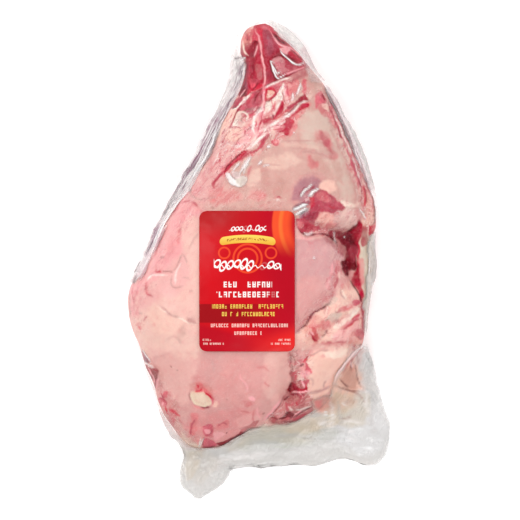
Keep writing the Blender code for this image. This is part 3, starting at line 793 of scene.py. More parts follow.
    ("rump corner", "tanPale", 0.8, 4, 0, [(-73, -160.5), (-63.5, -168), (-54.5, -173.5), (-58, -177),
        (-69.5, -173.5)]),
    ("rump grey", "rumpGrey", 0.45, 10, -0.3, [(-51.5, -89.5), (-34, -89), (-34, -112), (-49, -112)]),
    ("rump grey low", "rumpGrey", 0.45, 8, 0, [(-58, -142), (-34, -134.5), (-17, -143.5),
        (-24.5, -156.5), (-50.5, -153)]),
    ("rump rose", "rumpRose", 0.4, 13, 0.3, [(-17, -93.5), (-0.5, -95.5), (10.5, -103), (3.5, -127),
        (-13.5, -129), (-21, -112)]),
    ("rump rose low", "blush", 0.3, 9, 0, [(-58, -143.5), (1.5, -140), (-4, -153), (-28.5, -166),
        (-50.5, -171.5), (-65.5, -164)]),
    ("notch", "notchBrown", 0.95, 1.6, -1.2, [(-106.5, -97), (-101, -101), (-95.5, -101), (-92, -103),
        (-93.5, -108.5), (-94.5, -114), (-96.5, -120.5), (-98, -113), (-103, -107.5)]),
    ("fleck one", "pinkMeat", 0.7, 2.5, 0.2, [(-89, -124), (-84, -123), (-84, -128), (-89, -129)]),
    ("fleck two", "neckRose", 0.7, 2.2, 0.2, [(-93.5, -129.5), (-88, -129.5), (-85, -133.5),
        (-86, -137), (-91.5, -135.5)]),
    ("fleck three", "pinkMeat", 0.7, 2.5, 0.2, [(-83, -138), (-76.5, -140), (-75, -145.5),
        (-81.5, -146.5)]),
    ("fleck four", "neckRose", 0.85, 2, 0, [(-81.5, -146.5), (-77.5, -147.5), (-77.5, -153),
        (-80.5, -156), (-83, -151)]),
    ("fleck five", "blush", 0.7, 3, 0, [(-62, -143.5), (-56.5, -143), (-56.5, -153), (-58, -164),
        (-64.5, -166), (-63, -155)]),
    ("fleck six", "neckRose", 0.7, 2.4, 0, [(-51.5, -156), (-44, -153), (-41.5, -158.5), (-43, -165),
        (-50, -165)]),
    ("fleck six light", "palePink", 0.7, 2, 0.3, [(-50, -158.5), (-45, -157.5), (-45, -161.5),
        (-49, -162.5)]),
    ("fleck seven", "blush", 0.7, 2.5, 0, [(-39.5, -154), (-28.5, -150), (-28.5, -156),
        (-37.5, -157.5)]),
    ("fleck eight", "palePink", 0.6, 2.5, 0.2, [(-41.5, -160.5), (-32, -160.5), (-34, -166),
        (-40.5, -168)]),
    ("rump foot", "neckRose", 0.85, 2, 0, [(-51.5, -167), (-43, -168), (-39.5, -172.5), (-43, -176),
        (-51.5, -175.5)]),
    ("rump rim", "deepRed", 0.95, 1.6, -0.3, [(-19, -164), (-11.5, -162), (-6, -158.5), (-1.5, -154),
        (1, -150), (-3.5, -150), (-8, -154), (-14.5, -156), (-17, -159.5)]),
    ("rump rim low", "bloodBrown", 0.9, 1.8, -0.3, [(-39.5, -171), (-32, -169), (-25.5, -165.5),
        (-19, -162.5), (-17, -164), (-24.5, -167.5), (-30, -172.5), (-36.5, -174)]),
    ("rump rim glow", "pinkMeat", 0.85, 1.4, 0.2, [(-16.5, -159), (-11.5, -157), (-10, -159),
        (-13.5, -161.5)]),
    ("rump under", "palePink", 0.7, 2, 0, [(-27.5, -169), (-21, -167.5), (-21, -170.5),
        (-26.5, -172.5)]),
    ("button halo", "blush", 0.8, 3, 0, [(-60, -121.5), (-57, -116), (-52.5, -114), (-49, -118.5),
        (-43, -125), (-41.5, -130.5), (-50.5, -127)]),
    ("fat button", "buttonCream", 0.97, 1.6, 1.0, [(-63, -124.5), (-59, -122.5), (-55.5, -123),
        (-50.5, -123), (-46.5, -126), (-44, -130.5), (-45.5, -135), (-50, -136), (-56.5, -135),
        (-61, -132.5)]),
    ("fat button core", "buttonLight", 0.6, 2, 0.3, [(-58, -125), (-51.5, -125), (-48, -129.5),
        (-51.5, -132.5), (-57, -130.5)]),
    ("fat button side", "peach", 0.8, 1.4, 0.4, [(-41.5, -132.5), (-38.5, -131), (-37, -133.5),
        (-40, -136), (-42.5, -135)]),
    ("fleck pale", "palePink", 0.85, 1.8, 0.4, [(-10, -127), (-6, -126), (-3.5, -129), (-6, -130.5)]),
    ("fleck dusk", "duskRose", 0.6, 3.5, 0, [(-14.5, -129.5), (-6, -130.5), (-6, -134.5),
        (-12.5, -135.5)]),
    ("shank deep", "deepWine", 0.46, 4, 0, [(-17, 195), (-2.5, 200.5), (16.5, 195), (38.5, 183.5),
        (44, 170.5), (27.5, 163), (7, 163), (-11.5, 167), (-19, 180)]),
    ("shank deep left", "deepWine", 0.42, 3, 0, [(-19, 198.5), (-8, 200.5), (-2.5, 189.5), (-8, 180),
        (-17, 183.5)]),
    ("cavity deep left", "deepWine", 0.44, 4, 0, [(51.5, 31), (66.5, 33), (85, 25.5), (90.5, 12.5),
        (85, -0.5), (72, 7), (59, 18)]),
    ("ridge red", "softRed", 0.36, 4, 0, [(85, -67.5), (98, -67.5), (102, -84), (98, -103),
        (85, -104.5), (83, -84)]),
    ("ragged tan", "warmTan", 0.36, 5, 0, [(57, -130.5), (74, -127), (96.5, -127), (103.5, -142),
        (96.5, -158.5), (79.5, -160.5), (63, -149.5)]),
    ("ragged red", "softRed", 0.36, 4, 0, [(42.5, -54.5), (55.5, -52.5), (61, -63.5), (55.5, -75),
        (44, -73)]),
    ("right stripe deep", "stripeRose", 0.2, 3, 0, [(59, 152), (70, 150), (83, 128), (92.5, 102),
        (103.5, 63), (109.5, 35), (98, 29.5), (89, 50), (87, 70), (77.5, 96.5), (66.5, 122.5)]),
    ("neck deep wash", "stripeRose", 0.2, 5, 0, [(-21, 137), (-8, 148.5), (10.5, 152), (29.5, 152),
        (44, 150), (38.5, 139), (25.5, 120.5), (3.5, 120.5), (-17, 120.5)]),
    ("right low deep", "stripeRose", 0.18, 4, 0, [(87, -37.5), (100, -41.5), (102, -69.5),
        (87, -69.5)]),
    ("right dip deep", "stripeRose", 0.2, 4, 0, [(72, -10), (87, -11.5), (89, -26.5), (74, -26.5)]),
    ("under bubble deep", "stripeRose", 0.2, 4, 0, [(42.5, 48), (70, 48), (76, 35), (59, 18),
        (42.5, 18)]),
    # painted light: a paler tone laid over the shade at this rim
    ("rim lift", "rimPale", 0.45, 4, 0, [(27.5, -86), (42.5, -84), (44, -101), (31, -103)]),
    ("rump corner warm", "softRed", 0.26, 4, 0, [(-91.5, -132.5), (-76.5, -130.5), (-73, -158.5),
        (-58, -168), (-67.5, -177), (-80.5, -166), (-89.5, -149.5)]),
    ("button warm", "softRed", 0.16, 5, 0, [(-63.5, -116), (-45, -116), (-41.5, -123), (-58, -121.5)]),
    ("flank edge warm", "softRed", 0.18, 4, 0, [(-106.5, -101), (-91.5, -99), (-89.5, -117.5),
        (-101, -119.5)]),
    ("lean lift", "rimPale", 0.25, 4, 0, [(12.5, -130.5), (23.5, -130.5), (25.5, -143.5),
        (14.5, -143.5)]),
    ("rim lift low", "rimPale", 0.3, 4, 0, [(-19, -147.5), (-2.5, -143.5), (3.5, -153), (-6, -162.5),
        (-17, -160.5)]),
    ("button warm two", "softRed", 0.18, 5, 0, [(-62, -117.5), (-45, -116), (-43, -130.5),
        (-58, -132.5)]),
    ("seam warm", "stripeRose", 0.16, 4, 0, [(10.5, 139), (29.5, 139), (27.5, 120.5), (10.5, 120.5)]),
    ("shank end warm", "stripeRose", 0.2, 4, 0, [(10.5, 213.5), (29.5, 209.5), (31, 195),
        (12.5, 196.5)]),
    ("lean lift two", "rimPale", 0.25, 3, 0, [(43, -132.5), (54.5, -132.5), (54.5, -143.5),
        (44, -143.5)]),
    ("stripe spot one", "stripeRose", 0.2, 4, 0, [(72, 139), (85, 137), (87, 122.5), (74, 122.5)]),
    ("stripe spot two", "stripeRose", 0.2, 4, 0, [(57, 109.5), (70, 107.5), (72, 92.5), (59, 94.5)]),
    ("neck spot", "stripeRose", 0.16, 4, 0, [(-19, 137), (-4, 137), (-2.5, 122.5), (-17, 122.5)]),
    ("flank notch deep", "deepWine", 0.14, 3, 0, [(-108.5, -99), (-93.5, -101), (-91.5, -117.5),
        (-103, -117.5)]),
    ("shank left deep", "deepWine", 0.3, 3, 0, [(-15.5, 196.5), (-6, 196.5), (-2.5, 185.5), (-10, 180),
        (-15.5, 185.5)]),
    ("cavity deep right", "deepWine", 0.3, 3, 0, [(72, 16.5), (87, 18), (89, 1.5), (77.5, 1.5)]),
    ("window deep", "stripeRose", 0.18, 4, 0, [(12.5, 182), (42.5, 182), (42.5, 167), (14.5, 167)]),
]

lambStrokes = [
    # painted highlight along the film's crease down the shank
    ("shank crease highlight", "palePink", 0.9, 1.2, 0.6, [(-4, 214.5), (-0.5, 208), (1.5, 200.5), (2.5, 193),
        (4, 185.5), (6, 174.5), (6, 163), (5, 155)]),
    ("crease shade", "deepRed", 0.8, 0.9, -0.3, [(3.5, 195), (5, 187.5), (7, 180), (8, 172.5)]),
    ("hollow strand", "palePink", 0.8, 0.9, 0.3, [(-0.5, 199.5), (-2.5, 193), (-4, 187.5)]),
    ("hollow shade", "maroon", 0.8, 0.9, 0, [(0.5, 195), (1.5, 188.5)]),
    # painted highlight along the film over the shank's ridge
    ("shank ridge highlight", "strandPink", 0.95, 1.0, 0.5, [(10.5, 213.5), (13.5, 208), (17, 202.5),
        (20, 199.5), (24.5, 197.5), (29.5, 196.5), (35, 193), (40.5, 187.5), (49, 180)]),
    ("ridge shade", "maroon", 0.85, 0.9, -0.3, [(30, 195), (36, 190), (41.5, 184.5)]),
    ("shank notch", "maroonDeep", 0.95, 1.5, -0.6, [(13.5, 210.5), (18, 205), (23, 201.5),
        (27.5, 198.5)]),
    ("notch flesh", "muscle", 0.7, 1.3, 0, [(21, 207), (26.5, 202.5)]),
    ("shelf shade", "maroon", 0.9, 1.0, -0.3, [(10.5, 186.5), (16.5, 188.5), (22, 188.5),
        (27.5, 185.5), (32, 182)]),
    ("pocket shade", "maroon", 0.95, 1.0, -0.4, [(10.5, 185.5), (11.5, 178), (13.5, 171.5),
        (16.5, 167), (22, 169.5)]),
    ("pocket shade in", "maroon", 0.9, 0.9, 0, [(14.5, 181), (15.5, 177), (18, 175.5)]),
    ("pocket dark", "maroon", 0.8, 0.8, 0, [(18, 170.5), (20, 172.5)]),
    ("strip shade", "maroonBrown", 0.85, 0.8, 0, [(23.5, 191), (28.5, 188.5), (34, 183.5),
        (37.5, 182.5)]),
    ("point edge left", "deepRed", 0.8, 0.8, -0.2, [(-10, 172.5), (-9, 165), (-7, 157.5)]),
    ("point edge right", "maroon", 0.85, 0.8, -0.2, [(-6, 156.5), (-2.5, 160.5), (0.5, 165)]),
    ("flesh tick", "maroon", 0.7, 0.7, 0, [(-8, 169.5), (-5, 168)]),
    ("neck line light", "strandPink", 0.9, 0.9, 0.3, [(46, 180), (41.5, 178), (35, 175.5),
        (29.5, 173.5), (23.5, 170.5)]),
    ("neck line", "wine", 0.95, 0.9, -0.5, [(40.5, 176), (33, 173.5), (27.5, 170.5), (23, 169),
        (16.5, 166), (10, 162.5), (3.5, 158.5), (-3.5, 155), (-8, 154)]),
    ("neck line foot", "paleStrandAndHighlight", 0.8, 0.9, 0.2, [(29.5, 169), (23.5, 167), (17, 164),
        (10.5, 160.5)]),
    ("edge flecks four", "blush", 0.5, 2.5, 0, [(-36.5, 102), (-35, 94.5), (-36.5, 87)]),
    ("back vein", "blush", 0.7, 1.2, 0, [(-30, 70), (-34, 64.5), (-36.5, 59), (-45, 52.5)]),
    ("leg fold one", "foldShade", 0.85, 0.9, -0.3, [(23, 109.5), (36, 109.5), (50, 110)]),
    ("leg fold two", "foldShade", 0.8, 1.2, -0.4, [(36.5, 99), (48, 100), (57, 98), (66.5, 93.5)]),
    ("leg fold three", "foldShade", 0.7, 1.1, -0.3, [(40.5, 76.5), (45, 79.5), (51.5, 79.5),
        (61, 77.5)]),
    ("leg fold four", "foldShade", 0.4, 1.2, -0.3, [(-62, 59), (-54.5, 55.5), (-45, 57), (-35, 57)]),
    ("leg fold five", "foldShade", 0.4, 1.6, -0.3, [(-11.5, 71), (10.5, 70), (29.5, 71)]),
    ("fat spot line", "maroon", 0.8, 1.0, -0.2, [(59, 154), (62, 147.5)]),
    ("right line top", "foldDark", 0.9, 0.8, -0.2, [(61, 161.5), (63.5, 156), (66.5, 150)]),
    ("right line outer", "maroonDeep", 1.0, 1.6, -0.5, [(62, 159.5), (66.5, 150), (71, 140),
        (76, 129.5), (80.5, 119.5), (85, 109.5), (89, 100)]),
    ("right line low", "foldDark", 0.9, 0.9, -0.2, [(87, 104.5), (89.5, 98), (93.5, 89.5), (97, 81.5),
        (101, 73)]),
    ("right fat strip", "strandPink", 0.85, 1.3, 0.4, [(63, 153), (66.5, 144.5), (71, 135.5),
        (75, 127), (77.5, 118.5), (81.5, 110), (86, 102), (90.5, 92.5), (95.5, 82.5), (100, 71),
        (103.5, 59), (105.5, 48), (104.5, 36.5)]),
    ("right strip light", "paleStrandAndHighlight", 0.8, 0.8, 0.2, [(70, 133.5), (75, 124), (79.5, 113),
        (83, 106.5)]),
    ("right line inner", "muscleDeep", 0.95, 1.1, -0.3, [(63.5, 145.5), (67.5, 137), (70, 130.5),
        (73, 122.5), (76, 116), (79.5, 108.5)]),
    ("right line fade", "foldShade", 0.8, 1.0, -0.2, [(77.5, 111), (81.5, 103), (85, 95.5)]),
    ("right pink", "blush", 0.8, 2.0, 0, [(63.5, 137), (68.5, 129.5), (72, 120.5)]),
    ("right band edge", "mauveDeep", 0.8, 0.9, -0.2, [(87, 92.5), (90.5, 82.5), (93.5, 73), (95.5, 63),
        (95.5, 51.5)]),
    ("right strip red", "red", 0.92, 2.0, -0.2, [(96.5, 70), (98, 63.5), (99, 55.5), (98, 48)]),
    ("right strip dark", "maroon", 0.7, 0.8, 0, [(98, 66.5), (100, 59), (100, 51.5)]),
    ("rim line", "maroonBrown", 0.92, 1.0, -0.2, [(103.5, 63.5), (106.5, 56.5), (108.5, 48),
        (108.5, 40.5), (107.5, 35), (104.5, 30)]),
    ("bubble dark one", "maroonPink", 0.85, 0.8, 0, [(37.5, 58), (40.5, 63.5), (45, 67.5)]),
    ("bubble dark two", "maroonPink", 0.85, 0.9, 0, [(43, 61), (48, 64.5), (52.5, 68.5)]),
    ("muscle streak", "red", 0.8, 1.0, 0, [(64.5, 50), (68.5, 48), (72, 48)]),
    ("muscle spot", "maroon", 0.75, 1.1, 0, [(50.5, 37.5), (53.5, 37.5)]),
    ("upper leg hem", "maroonPink", 0.9, 1.1, -0.7, [(36, 28.5), (40.5, 24.5), (46, 23), (55.5, 23)]),
    ("upper leg hem dark", "maroonDeep", 0.95, 1.2, -0.6, [(55.5, 23), (62, 23), (66.5, 20),
        (71, 16.5), (73, 11.5)]),
    ("gap line", "maroonDeep", 0.9, 1.0, -0.4, [(80.5, 23.5), (85, 27.5), (90.5, 32)]),
    ("cavity tail", "maroonDeep", 0.85, 1.3, -0.5, [(77.5, -8), (80.5, -11.5), (83, -16.5)]),
    ("strip edge", "maroonDeep", 0.85, 0.9, -0.4, [(84, -18), (88, -24.5), (92.5, -32), (97, -40.5)]),
    ("round hem", "maroonDeep", 0.95, 1.1, -0.9, [(67.5, -36.5), (63.5, -41.5), (59, -45), (53.5, -48),
        (49, -50.5), (46, -56.5), (44, -60), (39.5, -63.5), (34, -67.5)]),
    ("round top fold", "palePink", 0.7, 1.2, 0.3, [(36.5, 23), (44, 19), (51.5, 21)]),
    ("flank tick three", "foldShade", 0.6, 1.3, 0, [(-63.5, -30), (-60, -28.5)]),
    ("flank streak two", "blush", 0.35, 4, 0, [(-80.5, 25.5), (-80.5, 12.5), (-84, 1.5)]),
    ("flank pleat light", "creamPale", 0.9, 0.9, 0.4, [(-93.5, -44), (-85, -49), (-77.5, -51.5),
        (-71, -54.5), (-67.5, -57), (-56.5, -60.5)]),
    ("flank pleat end", "foldShade", 0.9, 2.4, -0.3, [(-66.5, -53.5), (-62, -56.5), (-57, -59)]),
    ("flank band", "beige", 0.6, 3.5, -0.2, [(-67.5, -60), (-71, -69.5), (-72, -79.5)]),
    ("flank edge", "bubbleRim", 0.7, 1.0, 0, [(-119.5, -30), (-120, -41.5), (-118.5, -54.5)]),
    ("flank edge two", "roseWarm", 0.8, 1.4, 0, [(-117, -30), (-117.5, -41.5), (-116.5, -54.5)]),
    ("flank spot four", "blush", 0.4, 2.0, 0, [(-97, -59), (-95.5, -62)]),
    ("back blush", "blush", 0.5, 2.5, 0, [(-63.5, 52.5), (-56.5, 49), (-58, 44)]),
    ("back spot", "foldDark", 0.4, 1.2, 0, [(-45, 48), (-40.5, 47)]),
    ("edge blush", "raggedRose", 0.4, 2.0, 0, [(-72, 54.5), (-76, 48), (-80.5, 40.5)]),
    ("heel line", "foldShade", 0.8, 1.2, -0.4, [(48, -89), (53.5, -86), (59, -84), (66.5, -84)]),
    ("heel flush", "blush", 0.5, 2.4, 0, [(59, -87), (61, -90.5)]),
    ("heel wrinkle", "foldShade", 0.7, 1.4, -0.3, [(61, -119.5), (61, -115), (63, -112)]),
    ("heel band", "foldShade", 0.8, 1.7, -0.5, [(42.5, -128), (47, -124), (53.5, -122.5), (63, -119.5),
        (68.5, -117.5)]),
    ("heel band light", "peach", 0.8, 1.3, 0.3, [(44, -129.5), (51.5, -127), (61, -123),
        (68.5, -119.5)]),
    ("heel foot", "foldShade", 0.5, 1.3, 0, [(50, -117.5), (50.5, -112), (47, -110)]),
    ("heel edge light", "creamPale", 0.9, 1.3, 0.5, [(88, -84), (83, -91.5), (78.5, -98), (75, -103.5),
        (72, -109.5), (70, -115)]),
    # painted shadow along the right edge of the heel
    ("heel edge", "raggedBrown", 0.9, 0.9, -0.4, [(90.5, -86), (86, -92), (80.5, -99), (76.5, -103.5),
        (74, -109.5), (71, -116)]),
    ("seam dusk one", "foldDark", 0.75, 1.1, -0.5, [(28, -84), (29.5, -89.5), (30, -95.5),
        (31.5, -101), (31, -106.5), (30, -113)]),
    ("seam dusk two", "foldDark", 0.6, 0.9, -0.3, [(31, -86), (32, -90.5), (34, -96.5), (33, -101)]),
    ("seam dusk three", "foldDark", 0.5, 0.9, -0.2, [(33, -100), (36.5, -101), (38.5, -99)]),
    ("slit", "maroonDeep", 1.0, 0.9, -0.8, [(38.5, -99.5), (40, -98), (42, -96)]),
    ("slit rise", "red", 0.8, 0.9, 0, [(42, -95), (43, -93), (45, -91)]),
    ("rose stem", "red", 0.8, 0.9, -0.3, [(44, -114), (44.5, -117.5), (45, -120.5)]),
    ("rose lip", "strandPink", 0.9, 1.0, 0.3, [(40, -112), (41.5, -115), (43, -118.5)]),
    ("blood edge", "maroonDeep", 0.95, 1.1, -0.6, [(30.5, -113), (29.5, -117.5), (29, -122.5)]),
    ("slit lip", "strandPink", 0.9, 0.9, 0.4, [(30, -123), (35, -123), (39.5, -123), (44, -122),
        (50, -121)]),
    ("under lip one", "maroonPink", 0.8, 1.0, -0.3, [(30, -125.5), (33, -125), (36, -124.5),
        (36.5, -127)]),
    ("under lip two", "maroonPink", 0.7, 0.9, -0.2, [(39, -124.5), (41.5, -125), (39, -127),
        (39, -129.5)]),
    ("slit two", "maroonDeep", 1.0, 0.9, -0.8, [(23.5, -130.5), (26, -129), (28.5, -127)]),
    ("ragged spot", "red", 0.75, 1.6, 0, [(35, -133.5), (37, -134)]),
    ("ragged spot dusk", "raggedRose", 0.6, 1.6, 0, [(32, -132.5), (33, -135.5)]),
    ("ragged strand one", "paleStrandAndHighlight", 0.7, 0.8, 0.2, [(27, -136), (29.5, -138.5), (32, -140)]),
    ("ragged strand two", "paleStrandAndHighlight", 0.7, 0.8, 0.2, [(34, -139), (38.5, -139.5), (44, -137.5),
        (49, -135.5)]),
    ("ragged strand three", "strandPink", 0.8, 0.9, 0.2, [(33, -145), (36.5, -142.5), (40.5, -140)]),
    ("ragged streaks", "raggedRose", 0.6, 1.1, 0, [(24.5, -132.5), (26.5, -136), (25.5, -140)]),
    ("gash line", "maroonDeep", 0.95, 0.9, -0.6, [(30, -147.5), (35, -145.5), (40.5, -141.5),
        (45, -138.5), (50, -136)]),
    ("gash spur", "maroonPink", 0.8, 0.8, -0.2, [(49, -131), (50, -134.5), (50, -137)]),
    ("ragged toe", "raggedBrown", 0.8, 1.0, -0.3, [(11, -146), (14.5, -146.5), (19, -148.5)]),
    ("ragged toe two", "foldDark", 0.5, 1.0, 0, [(15.5, -150), (19, -149.5)]),
    ("rump side", "raggedBrown", 0.8, 0.8, -0.5, [(7, -150), (11.5, -144), (16.5, -139), (21, -132.5),
        (24, -127), (27.5, -122.5)]),
    ("rump side light", "strandPink", 0.8, 1.2, 0.4, [(3.5, -151), (8, -146), (12.5, -140.5),
        (17, -134.5), (21, -129)]),
    ("plum pocket", "maroonDeep", 0.8, 1.4, -0.4, [(-10.5, 168), (-13.5, 160.5), (-16.5, 152)]),
    ("plum core", "maroonDeep", 0.9, 1.0, -0.3, [(-15.5, 151.5), (-12.5, 155.5)]),
    ("pocket strand", "strandPink", 0.8, 0.7, 0.3, [(-18, 150), (-14.5, 155), (-11.5, 158.5)]),
    ("edge strand", "paleStrandAndHighlight", 0.95, 0.9, 0.4, [(-19, 153), (-24.5, 145.5), (-30, 139),
        (-34, 129.5), (-36.5, 120.5), (-41.5, 110)]),
    ("wedge strand", "paleStrandAndHighlight", 0.95, 0.8, 0.4, [(-25.5, 139), (-20, 141), (-14.5, 147.5),
        (-8, 153)]),
    ("wedge under", "maroon", 0.8, 0.7, -0.2, [(-24.5, 140), (-20, 142)]),
    ("stem line", "deepRed", 0.95, 0.8, -0.3, [(-8, 150.5), (-13.5, 145.5), (-18, 140), (-21, 134.5),
        (-24, 127), (-26.5, 122.5)]),
    ("rung", "raggedRose", 0.9, 0.8, -0.2, [(-28.5, 122), (-23, 123), (-16.5, 122)]),
    ("peach side", "raggedRose", 0.8, 0.8, -0.2, [(-13, 121.5), (-13, 115), (-17, 112.5), (-19.5, 110),
        (-20.5, 107.5)]),
    ("peach rise", "blush", 0.7, 0.9, 0, [(-12.5, 121.5), (-9, 125), (-4, 129)]),
    ("edge flecks", "muscleDeep", 0.8, 1.0, 0, [(-31, 121.5), (-33, 118.5), (-34.5, 116)]),
    ("edge flecks two", "raggedRose", 0.8, 1.0, 0, [(-33.5, 111), (-35, 107.5)]),
    ("edge flecks three", "raggedRose", 0.8, 1.0, 0, [(-35, 94.5), (-36.5, 90.5)]),
    ("swirl one", "foldDark", 0.9, 0.8, -0.2, [(-16, 133.5), (-14.5, 137), (-10.5, 139.5), (-7, 139),
        (-2.5, 139.5), (3.5, 142)]),
    ("swirl two", "foldDark", 0.8, 0.8, -0.2, [(-13.5, 126), (-16.5, 129.5), (-13, 133), (-8, 136),
        (-3.5, 136.5), (1.5, 140)]),
    ("swirl three", "muscle", 0.7, 0.8, 0, [(-5, 141), (-0.5, 144), (3.5, 144.5)]),
    ("knot one", "deepRed", 0.85, 0.9, 0, [(-5, 144.5), (-2.5, 150), (0.5, 155.5), (3.5, 159.5)]),
    ("knot two", "muscleDeep", 0.85, 0.9, 0, [(-2.5, 147.5), (1.5, 147.5), (6, 150)]),
    ("knot three", "red", 0.85, 0.8, 0, [(7, 159.5), (8, 155), (6.5, 150)]),
    ("knot four", "maroon", 0.9, 0.8, -0.2, [(6, 147), (9, 146.5), (11.5, 148)]),
    ("ring shade", "maroon", 0.7, 0.6, -0.2, [(14.5, 156), (16.5, 153), (13.5, 149.5), (10.5, 148)]),
    ("cuff strand", "paleStrandAndHighlight", 0.8, 0.8, 0.2, [(3.5, 157.5), (12.5, 162.5), (20, 165)]),
    ("column foot", "strandPink", 0.9, 1.2, 0.4, [(4.5, 163), (4.5, 155), (4.5, 147.5), (3.5, 141),
        (1.5, 134.5)]),
    # a broad painted highlight along the pale strand of the neck, with a brighter painted highlight in its core
    ("broad strand highlight", "paleStrandAndHighlight", 1.0, 1.9, 0.5, [(3.5, 143), (0.5, 137), (-3.5, 132.5), (-5, 126),
        (-6, 121.5), (-4, 116)]),
    ("strand highlight core", "gleam", 0.8, 0.9, 0.3, [(0.5, 137), (-3, 131.5), (-4.5, 128)]),
    ("white drop", "pinkMeat", 0.8, 0.9, 0, [(-2, 129), (-2.5, 123)]),
    ("white dot", "foldDark", 0.7, 0.8, 0, [(-3.5, 127.5), (-2.5, 127)]),
    ("rose rise", "neckRose", 0.85, 1.1, -0.2, [(4, 136), (2.5, 130.5), (0.5, 123), (-1, 116.5)]),
    ("cream vein", "pinkMeat", 0.7, 0.7, 0, [(11.5, 147.5), (13, 143), (12, 138)]),
    ("cream vein two", "pinkMeat", 0.8, 0.7, 0, [(16.5, 147.5), (14.5, 143), (13.5, 139)]),
    ("cream pleat", "paleStrandAndHighlight", 0.9, 0.8, 0.2, [(13.5, 134.5), (17, 140), (20, 145.5), (23, 152),
        (24.5, 157.5)]),
    ("cuff line", "strandPink", 0.9, 0.9, 0.3, [(24, 164), (24.5, 157.5), (26, 150), (28.5, 144.5)]),
    ("cuff shade", "muscle", 0.8, 0.7, -0.2, [(22.5, 156), (23, 150), (25.5, 143)]),
    ("cuff shade two", "neckRose", 0.8, 0.8, -0.2, [(26.5, 161.5), (27, 155), (28.5, 148.5)]),
    ("cuff red", "raggedRose", 0.8, 0.8, 0, [(40.5, 164), (43, 166), (46, 166.5)]),
    ("wedge tick", "maroonDeep", 0.95, 0.7, -0.3, [(13.5, 134), (13, 131)]),
    ("wedge foot", "wine", 0.8, 0.7, -0.3, [(5.5, 130), (10, 130.5), (13.5, 131.5)]),
    ("cream seam", "paleStrandAndHighlight", 1.0, 1.5, 0.5, [(46, 147.5), (41.5, 146), (36.5, 142), (32, 137),
        (27.5, 133.5), (22, 129.5), (16.5, 127), (10.5, 124), (6, 120.5), (0.5, 119.5)]),
    ("cream seam core", "gleam", 1.0, 1.0, 0.3, [(33, 138), (27.5, 133.5), (23, 130.5)]),
    ("cream seam low", "paleStrandAndHighlight", 0.9, 1.0, 0.4, [(4, 115), (-1.5, 109.5), (-7, 103.5),
        (-12.5, 101)]),
    ("seam low shade", "foldDark", 0.6, 0.7, -0.2, [(0.5, 109.5), (-2.5, 107.5)]),
    ("blot strand", "strandPink", 0.95, 1.0, 0.3, [(12.5, 121.5), (18, 122.5), (23, 123)]),
    ("blot under", "neckRose", 0.85, 0.8, 0, [(12.5, 120), (18, 120.5), (23, 121.5)]),
    ("blot dot", "palePink", 0.9, 0.9, 0.3, [(23, 117.5), (23.5, 117)]),
    ("mark one", "raggedRose", 0.8, 0.9, 0, [(11.5, 110.5), (13, 107), (16.5, 105.5), (18.5, 108.5)]),
    ("left seam line", "maroonDeep", 0.95, 0.8, -0.5, [(-12, 101.5), (-18, 97), (-24, 91),
        (-29.5, 85.5), (-32.5, 79.5)]),
    ("left seam light", "pinkMeat", 0.7, 0.8, 0.3, [(-15.5, 96.5), (-21, 91.5), (-25.5, 88)]),
    ("left seam rose", "raggedRose", 0.8, 1.4, 0, [(-8, 99), (-12.5, 95.5), (-17, 91.5)]),
    # painted shade along the top of the shank's fat knob
    ("knob shade", "muscle", 0.7, 1.6, 0, [(-14.5, 208), (-11.5, 214.5), (-7, 218)]),
    ("knob flush", "raggedRose", 0.6, 1.6, 0, [(-7, 213.5), (-8, 207), (-10.5, 201.5)]),
    # painted highlight down the left edge of the shank's fat knob
    ("knob highlight", "creamPale", 0.8, 1.0, 0.3, [(-15, 204), (-14.5, 198.5), (-12.5, 193), (-9, 189.5)]),
    ("knob crease", "raggedBrown", 0.6, 0.9, -0.3, [(-12.5, 210.5), (-10.5, 207), (-11.5, 202.5)]),
    ("notch strand", "raggedDull", 0.8, 0.8, 0.3, [(-102, -103), (-98, -107.5), (-96.5, -114)]),
    ("notch strand two", "foldDark", 0.7, 0.8, 0.2, [(-98, -102), (-95.5, -106.5), (-95, -112)]),
    ("notch edge", "palePink", 0.7, 0.9, 0.3, [(-92, -108.5), (-94, -115), (-95.5, -121.5)]),
    ("fleck ring", "raggedRose", 0.8, 0.8, -0.2, [(-93.5, -130), (-89.5, -129.5), (-86, -131.5),
        (-85.5, -135.5)]),
    ("fleck line", "red", 0.85, 1.0, -0.2, [(-86.5, -136), (-85.5, -141), (-83, -145)]),
    ("fleck line two", "raggedRose", 0.7, 0.8, 0, [(-92.5, -142), (-86, -142.5)]),
    ("fleck line three", "red", 0.7, 1.0, 0, [(-82.5, -139), (-77.5, -142.5), (-72, -146)]),
    ("fleck line four", "red", 0.7, 1.2, 0, [(-79.5, -147.5), (-79, -152)]),
    ("fleck line five", "raggedRose", 0.8, 1.1, -0.2, [(-58, -147.5), (-61, -153), (-62.5, -158.5),
        (-63.5, -165)]),
    ("fleck line six", "raggedRose", 0.8, 1.0, -0.2, [(-42.5, -154), (-43, -159.5), (-47, -164),
        (-50.5, -164)]),
    ("fleck line seven", "neckRose", 0.8, 0.9, 0, [(-52.5, -156.5), (-49, -154), (-43, -153)]),
    ("fleck line eight", "raggedRose", 0.6, 0.9, 0, [(-38.5, -155), (-33, -151.5), (-28.5, -154)]),
    ("fleck dot", "maroonPink", 0.9, 1.0, -0.2, [(-30, -160.5), (-29, -161)]),
    ("fleck tick", "foldDark", 0.6, 0.8, 0, [(-81, -98), (-80, -99.5)]),
    ("fleck tick two", "foldDark", 0.5, 0.8, 0, [(-75, -101.5), (-74, -102.5)]),
    ("foot line", "maroonBrown", 0.85, 0.8, -0.3, [(-51, -166), (-51.5, -169.5), (-52.5, -173.5)]),
    ("foot light", "paleStrandAndHighlight", 0.85, 0.8, 0.3, [(-53, -166), (-54.5, -170.5), (-56.5, -176)]),
